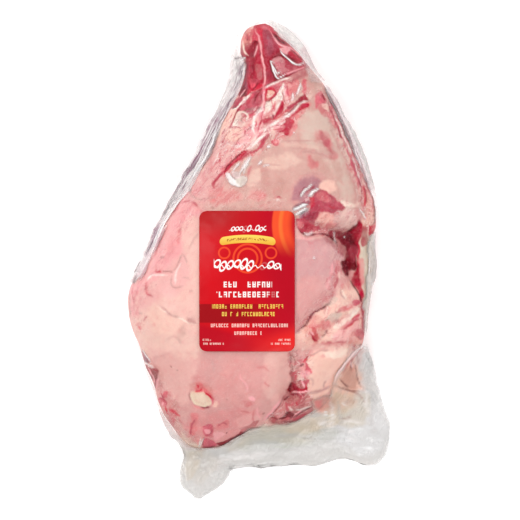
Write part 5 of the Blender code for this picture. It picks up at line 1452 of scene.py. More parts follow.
filmStrokes = [
    ("gleam 5", "gleam", 0.75, 1.2, 0.5, [(-11.5, 182.5), (-13.5, 176), (-18, 169), (-22, 159.5),
        (-25.5, 151), (-30, 142)]),
    ("gleam 6", "gleam", 0.7, 1.0, 0.4, [(-11.5, 188.5), (-15.5, 185.5), (-17, 182.5)]),
    ("pocket gleam", "gleamWhite", 0.9, 0.9, 0.6, [(20, 195), (22, 191), (27.5, 186.5), (31, 183),
        (34, 181), (37.5, 180.5), (41.5, 182.5), (40.5, 185.5)]),
    ("pocket gleam two", "gleamWhite", 0.9, 0.7, 0.5, [(15.5, 181), (11.5, 183.5), (13.5, 177),
        (15.5, 170.5), (18, 168), (23, 170.5), (26.5, 173.5)]),
    ("pocket gleam three", "gleam", 0.8, 0.7, 0.4, [(12.5, 181), (15.5, 175.5), (17, 172.5),
        (21, 174.5)]),
    ("notch gleam three", "gleamPink", 0.6, 0.8, 0.4, [(16.5, 210.5), (22, 206), (27.5, 201.5)]),
    ("top gleam", "gleamPink", 0.6, 0.8, 0.4, [(12.5, 216), (18, 211.5), (23.5, 207)]),
    ("top film line 1", "filmLine", 0.5, 0.9, 0.3, [(27.5, 202.5), (36, 201.5), (43, 199.5)]),
    ("top film line 2", "filmLine", 0.5, 0.9, 0.3, [(38.5, 195), (46, 186.5), (53.5, 176), (59, 165)]),
    ("top film line 3", "filmLine", 0.5, 0.9, 0.3, [(16.5, 216), (23.5, 210.5), (29.5, 209)]),
    ("right edge wine", "wineFilm", 0.9, 1.1, 0.2, [(62, 159.5), (67, 150), (71.5, 140), (76.5, 130),
        (81, 120), (85.5, 109.5), (89.5, 99), (93.5, 89.5)]),
    ("bubble gleam 1", "gleam", 1.0, 1.0, 0.4, [(38.5, 57), (41.5, 62), (46, 66.5), (50, 70)]),
    ("bubble gleam 2", "gleamWhite", 1.0, 1.1, 0.5, [(46, 58), (50.5, 62), (56.5, 66)]),
    ("bubble gleam 4", "gleamWhite", 1.0, 1.5, 0.6, [(31, 45), (38.5, 48.5), (46, 50.5)]),
    ("bubble gleam 5", "gleamWhite", 0.95, 1.1, 0.5, [(33, 40.5), (37.5, 43), (45, 48)]),
    ("bubble shade", "streakPlum", 0.9, 0.8, 0.2, [(36.5, 40.5), (42.5, 44), (47, 48)]),
    ("hem gleam", "gleamPink", 0.8, 1.2, 0.4, [(41.5, 24.5), (46, 23), (50.5, 26.5)]),
    ("gap gleam", "gleamPink", 0.5, 0.9, 0.4, [(70, 26.5), (70, 20), (71, 14.5)]),
    ("gap glint", "gleam", 0.6, 1.0, 0.2, [(78.5, 21), (79.5, 20)]),
    ("rim gleam", "gleam", 0.7, 1.2, 0.4, [(107.5, 57), (109.5, 48), (109.5, 36.5)]),
    ("rim gleam two", "gleam", 0.6, 1.0, 0.4, [(92.5, 48), (96.5, 42.5), (100, 36.5)]),
    ("round glint", "gleam", 0.6, 1.2, 0.2, [(51, 2.5), (52, 0.5)]),
    ("right edge line 1", "filmLine", 0.6, 1.0, 0.3, [(81.5, 131.5), (89.5, 115), (97, 98),
        (103.5, 81.5), (108.5, 64.5)]),
    ("skirt glint 1", "gleam", 0.7, 1.4, 0.3, [(59, -153), (63.5, -152)]),
    ("skirt glint 2", "gleam", 0.7, 1.5, 0.3, [(63, -144.5), (63.5, -147.5)]),
    ("skirt glint 3", "gleamWhite", 0.9, 1.1, 0.3, [(88.5, -169), (89.5, -171.5)]),
    ("skirt glint 4", "gleamWhite", 0.9, 1.2, 0.3, [(101, -172.5), (102.5, -176)]),
    ("skirt glint 5", "gleamWhite", 0.8, 1.0, 0.3, [(93.5, -157.5), (95.5, -159.5)]),
    ("skirt glint 6", "gleamWhite", 0.7, 1.0, 0.3, [(94.5, -165), (95.5, -169)]),
    ("skirt glint 7", "gleam", 0.6, 1.0, 0.3, [(68.5, -143.5), (72, -147.5)]),
    ("skirt line 1", "skirtLine", 0.7, 1.1, 0.3, [(-10, -173.5), (-2.5, -171.5), (5, -170.5)]),
    ("skirt line 2", "skirtGreen", 0.8, 1.1, 0.3, [(12.5, -175.5), (23, -176), (29.5, -174.5),
        (34, -173.5)]),
    ("skirt line 3", "skirtLine", 0.5, 1.1, 0.3, [(-24.5, -169), (-11.5, -165), (3.5, -156.5)]),
    ("skirt line 4", "skirtLine", 0.5, 1.4, 0.4, [(55.5, -160.5), (63, -154), (64.5, -145.5)]),
    ("skirt line 5", "purgeLine", 0.4, 1.2, 0.3, [(74, -148.5), (83, -148.5), (90.5, -142)]),
    ("skirt line 6", "skirtLine", 0.5, 1.0, 0.3, [(-58, -179), (-54.5, -184.5), (-62, -188.5)]),
    ("skirt line 7", "skirtLine", 0.5, 1.0, 0.3, [(-33, -179), (-32, -183.5)]),
    ("skirt line 8", "skirtLine", 0.4, 1.6, 0.4, [(38.5, -169), (50, -162.5), (66.5, -158.5)]),
    ("flap edge", "filmLine", 0.6, 1.4, 0.2, [(-74, -173.5), (-69.5, -182.5), (-68.5, -194),
        (-71, -207)]),
    ("notch gleam", "gleam", 0.6, 0.8, 0.3, [(-108.5, -82.5), (-103.5, -89), (-100, -95.5)]),
    ("notch gleam two", "gleamPink", 0.6, 0.8, 0.3, [(-106.5, -94.5), (-102, -98), (-97, -101)]),
    ("foot gleam", "gleam", 0.7, 0.9, 0.3, [(-50.5, -166), (-53.5, -171.5), (-56.5, -176)]),
    ("shelf line 1", "purgeLine", 0.9, 1.1, 0.3, [(87.5, -90.5), (86.5, -96.5), (86, -103.5)]),
    ("shelf line 2", "gleamPink", 0.7, 0.7, 0.3, [(86, -94.5), (87.5, -101)]),
    ("shelf line 3", "purgeLine", 0.8, 0.9, 0.3, [(89, -94.5), (91, -103), (92, -110), (94.5, -116),
        (96.5, -120.5)]),
    ("shelf line 4", "purgeLine", 0.9, 1.0, 0.3, [(75.5, -111), (79.5, -115.5), (85, -119.5)]),
    ("shelf line 5", "purgeLine", 0.7, 1.2, 0.2, [(70, -116), (76.5, -119.5), (84, -122),
        (94.5, -123.5)]),
    ("shelf line 6", "purgeLine", 0.5, 1.6, 0.2, [(90.5, -86), (92.5, -92.5), (93.5, -99)]),
    ("shelf dusk", "purgeLine", 0.3, 2.5, 0.2, [(80.5, -135.5), (85, -132.5), (89, -130.5)]),
    ("shelf gleam 1", "gleam", 0.8, 1.0, 0.2, [(78, -133), (80.5, -135.5), (82.5, -137)]),
    ("shelf gleam 2", "gleam", 0.8, 1.3, 0.3, [(63, -141), (63, -143.5), (62, -147.5)]),
    ("shelf gleam 3", "gleam", 0.85, 1.5, 0.3, [(56.5, -153), (60, -154)]),
    ("shelf gleam 4", "gleam", 0.6, 1.2, 0.2, [(46, -144.5), (48, -143)]),
    ("shelf gleam 5", "gleam", 0.5, 1.2, 0.2, [(68.5, -144.5), (70, -145.5)]),
    ("cuff gleam 1", "gleam", 0.9, 1.1, 0.5, [(38.5, 163.5), (38, 159.5), (36.5, 156), (34.5, 152)]),
    ("cuff gleam 2", "gleam", 0.85, 1.3, 0.4, [(32, 154.5), (31.5, 150), (30, 146.5)]),
    ("cuff gleam 3", "gleamPink", 0.6, 1.0, 0.3, [(26.5, 144.5), (28.5, 147.5)]),
    ("seam gleam 1", "gleam", 0.85, 1.1, 0.3, [(-0.5, 87.5), (1.5, 89.5), (3.5, 91)]),
    ("seam gleam 2", "gleam", 0.55, 0.9, 0.2, [(3.5, 85), (6, 86.5), (10.5, 87)]),
    ("seam gleam 3", "gleam", 0.8, 1.7, 0.3, [(8, 104), (10.5, 104)]),
    ("seam gleam 4", "gleam", 0.6, 0.9, 0.2, [(32.5, 116), (33, 118.5)]),
    ("seam gleam 5", "gleamPink", 0.7, 0.9, 0.3, [(-5.5, 95.5), (-10, 92.5), (-13.5, 88),
        (-16.5, 81.5)]),
    ("glare 2", "gleam", 0.5, 1.6, 0.3, [(-11.5, 88), (-14.5, 83)]),
    ("skirt glint 8", "gleamWhite", 0.8, 1.0, 0.3, [(100, -158.5), (104.5, -156.5)]),
    ("skirt glint 9", "gleamWhite", 0.8, 1.2, 0.3, [(107.5, -162.5), (111, -164)]),
    ("skirt glint 10", "gleam", 0.7, 1.0, 0.3, [(87, -160.5), (85, -166), (89, -169.5)]),
    ("skirt ridge 1", "gleam", 0.5, 2.2, 0.6, [(66.5, -130.5), (69.5, -147.5), (64.5, -164)]),
    ("skirt ridge 2", "gleam", 0.45, 2.4, 0.6, [(102, -123), (100, -134.5), (104.5, -144.5)]),
    ("skirt ridge 3", "gleam", 0.4, 2.0, 0.5, [(77.5, -153), (87, -151), (96.5, -153)]),
    ("skirt ridge 4", "gleam", 0.35, 3.0, 0.5, [(-40.5, -188.5), (-17, -183.5), (9, -182)]),
    ("skirt shade 1", "filmLine", 0.5, 2.2, -0.4, [(73, -130.5), (76.5, -149.5), (73, -168)]),
    ("skirt shade 2", "filmLine", 0.5, 2.6, -0.4, [(109.5, -130.5), (105.5, -149.5), (111, -168)]),
    ("skirt shade 3", "filmLine", 0.45, 2.4, -0.4, [(10.5, -166), (38.5, -164), (66.5, -173.5)]),
    ("skirt shade 4", "filmLine", 0.4, 2.4, -0.4, [(-59, -182), (-50, -191), (-54.5, -203)]),
    ("right edge fine", "wineFilm", 0.8, 0.7, 0.2, [(93.5, 89.5), (98, 78.5), (102.5, 68.5),
        (104.5, 61)]),
    ("right band glint", "gleam", 0.6, 0.8, 0.2, [(88, 105.5), (92.5, 94.5), (95.5, 85)]),
    ("left dark 1", "streakPlum", 0.9, 1.2, 0.3, [(-13.5, 185.5), (-15.5, 176), (-17, 167)]),
    ("left knot", "streakPlum", 0.8, 1.3, 0.3, [(-23, 186.5), (-18, 188.5), (-14.5, 187.5)]),
    ("band dark 4", "streakPlum", 0.95, 1.5, 0.3, [(-74, 68.5), (-78.5, 59), (-84, 49), (-90.5, 37)]),
    ("band dark 5", "streakDark", 0.85, 1.0, 0.2, [(-66.5, 74), (-72, 64.5), (-77.5, 55.5), (-83, 46)]),
    ("band dark 6", "bandPurple", 0.9, 2.4, 0.2, [(-91.5, 34), (-96.5, 24.5), (-101, 14.5),
        (-104.5, 5)]),
    ("band dark 7", "streakPlum", 0.8, 0.9, 0.2, [(-99, 18), (-102, 11.5), (-105, 4)]),
    ("band dark 8", "streakDark", 0.7, 0.9, 0.2, [(-111, -0.5), (-114, -7), (-116, -13.5)]),
    ("band dark 9", "wineFilm", 1.0, 1.6, 0.3, [(-113, -13.5), (-115.5, -18), (-117, -22.5)]),
    ("band rose", "streakPink", 0.9, 1.1, 0.3, [(-85, 33), (-90.5, 23), (-94.5, 14.5), (-98, 3.5)]),
    ("band rose 2", "streakPink", 0.8, 0.9, 0.2, [(-102.5, -2.5), (-106, -11.5), (-111, -20)]),
    ("band spot", "streakPlum", 0.8, 1.1, 0.2, [(-63.5, 66.5), (-64.5, 63)]),
    ("band white 2", "gleamWhite", 1.0, 1.0, 0.4, [(-65.5, 64.5), (-73, 55.5), (-80.5, 45),
        (-87, 35.5), (-93.5, 24.5), (-98, 13.5), (-101.5, 5)]),
    ("band white 3", "gleam", 0.5, 0.9, 0.4, [(-103, 1.5), (-106.5, -7), (-111, -15.5), (-115, -23)]),
    ("band white 5", "gleam", 0.5, 1.8, 0.2, [(-104.5, 3.5), (-108.5, -3.5), (-112, -10.5)]),
    ("band white 6", "gleam", 0.7, 0.8, 0.3, [(-69.5, 68.5), (-75, 59), (-81.5, 49)]),
    ("band dark 1", "streakDark", 0.95, 1.3, 0.3, [(-19, 157.5), (-23.5, 151), (-27.5, 145.5),
        (-31, 137), (-36, 128), (-41.5, 119.5), (-45, 110), (-50.5, 100), (-59, 89), (-65.5, 79.5)]),
    ("band dark 2", "streakPlum", 0.9, 1.3, 0.3, [(-35, 126), (-38.5, 118.5), (-41.5, 110), (-45, 100),
        (-49, 93.5), (-55.5, 85), (-62, 74)]),
    ("band dark 3", "bandPurple", 0.9, 1.6, 0.2, [(-47, 116.5), (-51.5, 107.5), (-58, 96.5),
        (-65.5, 86), (-73, 76)]),
    ("band white 1", "gleamWhite", 1.0, 0.9, 0.4, [(-37.5, 128), (-40.5, 119.5), (-42.5, 110),
        (-46, 103), (-50, 94.5), (-56.5, 85), (-61, 76.5), (-65.5, 70)]),
    ("band white 4", "gleam", 0.8, 0.9, 0.3, [(-40.5, 128), (-44, 118.5), (-49, 108.5), (-53.5, 99)]),
    ("band pale top", "gleam", 0.6, 2.4, 0.3, [(-19, 180), (-23, 169), (-27.5, 159.5), (-33, 150),
        (-38.5, 139)]),
    ("band dark top", "streakDark", 0.5, 1.0, 0.3, [(-15.5, 180), (-17, 169), (-20, 159.5)]),
    ("glare strand", "gleam", 0.95, 1.0, 0.3, [(-7, 94.5), (-11.5, 88), (-15.5, 82.5), (-17, 77.5)]),
    ("glare strand two", "gleam", 0.7, 0.9, 0.3, [(-17, 89.5), (-22, 84), (-24, 81.5)]),
    ("glare strand three", "gleam", 0.6, 0.9, 0.2, [(-9, 89), (-12.5, 83), (-13.5, 77.5)]),
    ("shelf rim", "gleamPink", 0.9, 1.2, 0.2, [(97, -79.5), (90.5, -85), (85, -91.5), (78.5, -99),
        (74, -106.5), (70, -116)]),
    ("shelf rim red", "raggedRose", 0.6, 0.8, 0.2, [(99, -80.5), (92.5, -86.5), (87, -93),
        (81.5, -100), (76.5, -107.5)]),
    ("purge crease", "purgeLine", 0.5, 0.9, 0.2, [(76.5, -116), (85, -122.5), (93.5, -126),
        (100, -134.5)]),
]


def bagEdges(y):
    return smoothThrough(film["left"], y), smoothThrough(film["right"], y)


def innerEdges(y):
    return smoothThrough(film["innerLeft"], y), smoothThrough(film["innerRight"], y)


def edgeHeight(y):
    return np.maximum(smoothThrough(bagSide, y) * film["edgeShare"], film["edgeLeast"])


# the widest level of the leg, carried on into the skirt
bagSide = [(-223.5, 2.1), (-185, 2.6)] + [point for point in lamb["side"] if point[0] > -170] + [(223.5, 9)]


def edgeDistance(x, y):
    # to the sides of the outline, and down to the hem, which is where the right side sweeps out below the leg
    bagLeft, bagRight = bagEdges(y)
    sweep = np.linspace(-198, -180, 120)
    hemX = bagEdges(sweep)[1]
    down = np.where(x > hemX[0], y - np.interp(x, hemX, sweep), 99)
    return np.maximum(np.minimum(np.minimum(x - bagLeft, bagRight - x), down), 0)


def looseHeight(x, y):
    # beside the leg the film falls from the leg's side to its welded edge: edge + (side - edge) * share^n
    bagLeft, bagRight = bagEdges(y)
    legLeft, legRight = innerEdges(y)
    side, edge = smoothThrough(bagSide, y), edgeHeight(y)
    leftShare = (x - bagLeft) / np.maximum(legLeft - bagLeft, 1)
    rightShare = (bagRight - x) / np.maximum(bagRight - legRight, 1)
    share = np.clip(np.minimum(leftShare, rightShare), 0, 1)
    share = share * smoothStep(0, 16, edgeDistance(x, y)) ** 0.5
    return edge + (side - edge) * share ** film["webCurve"]


class FilmLevel:
    # the height of the taut film in plan: it rests on the leg and on the web, and is averaged between them
    def __init__(self):
        self.step = 1.5
        self.x = np.arange(-129, 129.1, self.step)
        self.y = np.arange(-228, 228.1, self.step)
        x, y = np.meshgrid(self.x, self.y)
        foot, tip = lamb["left"][0][0], lamb["left"][-1][0]
        middle, half, _, _ = lambSection(np.clip(y, foot, tip))
        onLeg = (np.abs(x - middle) < half) & (y > foot) & (y < tip)
        rest = looseHeight(x, y)
        support = np.where(onLeg, lambTop(x, np.clip(y, foot, tip)) + film["clearance"], rest)
        # the film bridges the leg's rim by one step all round
        rim = [np.roll(support, shift, axis) for shift in (-1, 1) for axis in (0, 1)]
        support = np.maximum(support, np.max(rim, axis=0) - 0.1)
        level = support.copy()
        for _ in range(26):
            around = (np.roll(level, 1, 0) + np.roll(level, -1, 0) + np.roll(level, 1, 1) + np.roll(level, -1, 1)) / 4
            level = np.maximum(support, around)
        self.onLeg = onLeg.astype(float)
        self.level = level
        self.support = support

    def read(self, field, x, y):
        u = np.clip((x - self.x[0]) / self.step, 0, len(self.x) - 1.001)
        v = np.clip((y - self.y[0]) / self.step, 0, len(self.y) - 1.001)
        i, j = u.astype(int), v.astype(int)
        s, t = u - i, v - j
        return ((field[j, i] * (1 - s) + field[j, i + 1] * s) * (1 - t)
                + (field[j + 1, i] * (1 - s) + field[j + 1, i + 1] * s) * t)


def filmRings():
    # rings across the bag, closest where its outline turns: over the top from +X to -X, then back under it
    low, high = film["left"][0][0], film["left"][-1][0]
    fine = np.linspace(low, high, 4000)
    density = 1 + 6.5 * np.exp(-((fine + 193.5) / 4) ** 2)
    density += 2 * np.exp(-((fine - low) / 6) ** 2) + 2 * np.exp(-((high - fine) / 6) ** 2)
    reach = np.cumsum(density)
    y = np.interp(np.linspace(reach[0], reach[-1], film["rows"]), reach, fine)
    bagLeft, bagRight = bagEdges(y)
    legLeft, legRight = innerEdges(y)
    web = np.linspace(0, 1, film["webColumns"], endpoint=False)
    over = np.linspace(0, 1, film["legColumns"] + 1)
    over = 0.5 * over + 0.5 * (1 - np.cos(over * np.pi)) / 2
    right = bagRight[:, None] + (legRight - bagRight)[:, None] * web
    middle = legRight[:, None] + (legLeft - legRight)[:, None] * over
    left = bagLeft[:, None] + (legLeft - bagLeft)[:, None] * web[::-1]
    under = np.linspace(0, 1, film["baseColumns"] + 2)[1:-1]
    back = bagLeft[:, None] + (bagRight - bagLeft)[:, None] * under
    x = np.hstack([right, middle, left, back])
    isTop = np.arange(x.shape[1]) < x.shape[1] - film["baseColumns"]
    return x, np.repeat(y[:, None], x.shape[1], axis=1), isTop


def makeFilm(level):
    x, y, isTop = filmRings()
    foot, tip = lamb["left"][0][0], lamb["left"][-1][0]
    low, high = film["left"][0][0], film["left"][-1][0]
    legY = np.clip(y, foot, tip)
    middle, half, side, _ = lambSection(legY)
    offLeg = np.hypot(np.maximum(np.abs(x - middle) - half, 0), y - legY)
    toEdge = edgeDistance(x, y)
    taut = level.read(level.level, x, y)
    onLeg = offLeg <= 0
    top = np.where(onLeg, np.maximum(taut, lambTop(x, legY) + 0.7 * film["clearance"]), taut)
    # crushed folds in the loose skirt, fine pleats along the sides, both fading towards the leg and the weld
    loose = smoothStep(0, 7, offLeg)
    skirt = smoothStep(-125, -165, y) * loose
    ridges = 1 - 2 * np.abs(cloudNoise(x + 5 * cloudNoise(x, y, 17, 71), y, 23, 81, 2))
    creases = 1 - 2 * np.abs(cloudNoise(x, y + 4 * cloudNoise(x, y, 9, 73), 9, 83, 2))
    wave = film["crumple"] * (0.7 * ridges + 0.3 * creases) * skirt
    pleats = film["pleat"] * np.sin(offLeg * 1.5 + 2.4 * cloudNoise(x, y, 38, 91)) * (1 - skirt) * loose * (x < middle)
    pleats += 0.5 * film["pleat"] * cloudNoise(x * 1.6, y * 0.4, 6, 95) * loose
    room = smoothStep(0, 6, toEdge)
    beside = (np.exp(-(offLeg / 4) ** 2) * smoothStep(-60, -130, y))[..., None]
    tone = linear(*palette["filmGrey"]) * (1 - beside) + linear(*palette["contact"]) * beside
    worn = (toEdge < 14) * smoothStep(14, 0, toEdge) * film["ragged"] * (1 + 0.8 * skirt)
    hem = sum(rise * np.exp(-((x - centre) / width) ** 2) for centre, width, rise in film["hem"])
    hem = hem * smoothStep(-163, -190, y) * smoothStep(-30, -10, x)
    tone, lift, cover = paint(x, y, tone, filmPatches, filmStrokes)
    top = top + (wave + pleats + lift * 0.3) * room + 0.4
    base = lambBase(np.clip(x, middle - half, middle + half), legY) - film["clearance"]
    gap = film["webGap"] + np.clip(top - base - film["webGap"], 0, None) * np.exp(-offLeg / 3.5)
    bottom = np.where(onLeg, base, top - gap * (0.35 + 0.65 * room))
    z = np.maximum(np.where(isTop, top, bottom), 0.15)
    movedX = x + worn * cloudNoise(x, y, 10, 111)
    movedY = y + hem + worn * cloudNoise(x, y, 10, 121) * smoothStep(0, 6, high - y) * smoothStep(0, 4, y - low)
    piece = ringMesh("bagFilm", np.stack([movedX, movedY, z], axis=-1), filmFinish())
    piece.data.set_sharp_from_angle(angle=1.0)
    low = smoothStep(-60, -130, y)
    web = smoothStep(0.3 - 0.3 * low, 5 - 3.8 * low, offLeg)
    haze = film["clearHaze"] + web * (film["webHaze"] - film["clearHaze"] + film["skirtHaze"] * skirt)
    haze = haze + 0.16 * web * cloudNoise(x, y, 15, 101)
    thin = 0.1 + 0.4 * skirt
    fade = np.where((x < middle) & (y > -60), 6.0, 3.5 - 1.8 * skirt)
    haze = haze * (thin + (1 - thin) * smoothStep(0, fade, toEdge)) + 0.35 * beside[..., 0] * loose
    # the marks cover the film here; the gleam strokes among them are painted highlights in white
    haze = np.where(isTop, haze + (1 - haze) * cover, haze)
    calm = 1 - 0.8 * smoothStep(100, 150, y) * (x > middle)
    colourAttribute(piece, "filmTone", tone)
    numberAttribute(piece, "haze", np.clip(haze, 0, 1))
    numberAttribute(piece, "loose", np.maximum(web * (1 - 0.8 * skirt) * calm, 0.12 * smoothStep(-60, -150, y)))
    beside = smoothStep(0, 3, offLeg) * smoothStep(-35, 15, y) * smoothStep(0, 4, toEdge)
    numberAttribute(piece, "drawn", beside * np.where(x < middle, smoothStep(205, 170, y), 0.3))
    return piece


def filmFinish():
    # clear film: its haze, which also carries the painted highlights and other painted marks, is its alpha; where it
    # is clear it only mirrors, with small wrinkles
    finish = Finish("clearFilm")
    place = finish.add("ShaderNodeTexCoord", output=3)
    tone = finish.attribute("filmTone", isColour=True)
    haze = finish.attribute("haze")
    loose = finish.attribute("loose")
    folds = finish.noise(finish.stretched(place, 2.6, 62), 230, 3, 0.55, 1.2)
    crinkle = finish.noise(place, 330, 3, 0.55, 0.8)
    streak = finish.band(folds, 0.54, 0.66)
    drawn = finish.attribute("drawn")
    # pale lines of painted highlight along the pleats beside the leg, with dark streaks between them
    lines = finish.noise(finish.stretched(place, 14, 62), 430, 2, 0.6, 0.3)
    darkLine = finish.band(lines, 0.49, 0.40) * drawn
    paleLine = finish.band(lines, 0.53, 0.60) * drawn
    alpha = haze + streak * loose * 0.16 + finish.band(crinkle, 0.62, 0.8) * loose * 0.12
    alpha = alpha + darkLine * 0.3 + paleLine * 0.15
    tone = finish.mix(darkLine * 0.6, tone, colour("streakDark"))
    tone = finish.mix(paleLine * 0.7, tone, colour("gleam"))
    base = finish.mix(finish.band(crinkle, 0.35, 0.7) * (1 - haze) * 0.5, tone, colour("filmPale"))
    normal = finish.bump(folds * (0.3 + loose * 1.1) + crinkle * (0.15 + loose * 0.4), 0.7, 0.0022)
    return finish.surface({
        "Base Color": base, "Roughness": finish.band(folds, 0.3, 0.7, 0.08, 0.20),
        "Normal": normal, "Alpha": alpha, "IOR": 1.6,
    })


print("film bag")
filmLevel = FilmLevel()
bagFilm = makeFilm(filmLevel)
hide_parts("sealed_bag")
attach(bagFilm, "root")


# ---- the paper label

label = {
    "width": 88,
    "height": 129.5,
    "corner": 7,
    "centre": (-10.5, -20),
    "paper": 0.3,
    "gap": 0.55,
    "rows": 132,
    "columns": 90,
}


def makeLabel(level):
    # a sheet with round corners: each row's half width shrinks by the corner's circle, draped on the film
    halfWidth, halfHeight, corner = label["width"] / 2, label["height"] / 2, label["corner"]
    turn = np.linspace(-1, 1, label["rows"])
    v = halfHeight * (0.8 * turn + 0.2 * np.sin(turn * np.pi / 2))
    intoCorner = np.clip((np.abs(v) - halfHeight + corner) / corner, 0, 1)
    reach = halfWidth - corner * (1 - np.sqrt(1 - intoCorner ** 2))
    x = label["centre"][0] + reach[:, None] * np.linspace(-1, 1, label["columns"])[None, :]
    y = label["centre"][1] + np.repeat(v[:, None], x.shape[1], axis=1)
    stiff = level.level.copy()
    for _ in range(60):
        around = (np.roll(stiff, 1, 0) + np.roll(stiff, -1, 0) + np.roll(stiff, 1, 1) + np.roll(stiff, -1, 1)) / 4
        stiff = around
    z = np.maximum(level.read(stiff, x, y), level.read(level.level, x, y)) + 0.4 + label["gap"]
    piece = sheetMesh("paperLabel", np.stack([x, y, z], axis=-1), labelFinish())
    paper = piece.modifiers.new("paper", "SOLIDIFY")
    paper.thickness = label["paper"] * mm
    paper.offset = 1
    return piece


# rows of small signs in place of words: height from the label's centre, half width, centre across,
# half height, pitch, seed, ink
printRows = [
    (-3.0, 22.4, 0.5, 2.6, 4.4, 1.3, "white"),
    (-12.2, 28.6, 0.5, 2.6, 4.4, 4.9, "white"),
    (-23.2, 32.6, 0.5, 1.9, 2.6, 8.2, "inkYellow"),
    (-30.2, 25, 0.5, 1.9, 2.6, 2.6, "inkYellow"),
    (-40.7, 37, 0.5, 1.6, 2.4, 5.5, "inkPale"),
    (-47.8, 12.8, 0.5, 1.6, 2.4, 9.4, "inkPale"),
    (-54.0, 4, -37, 0.9, 1.5, 6.3, "inkPale"),
    (-57.6, 9.5, -31, 0.9, 1.5, 3.8, "inkPale"),
    (-54.0, 6, 34, 0.9, 1.5, 7.1, "inkPale"),
    (-57.6, 9, 31, 0.9, 1.5, 1.9, "inkPale"),
]

# rows of slanted loops: height, half width, centre across, half height, pitch, half thickness, seed
loopRows = [
    (48.2, 17, 0.5, 1.9, 3.7, 0.42, 2.0),
    (15.0, 31, 0.5, 3.2, 6.2, 0.62, 7.0),
]


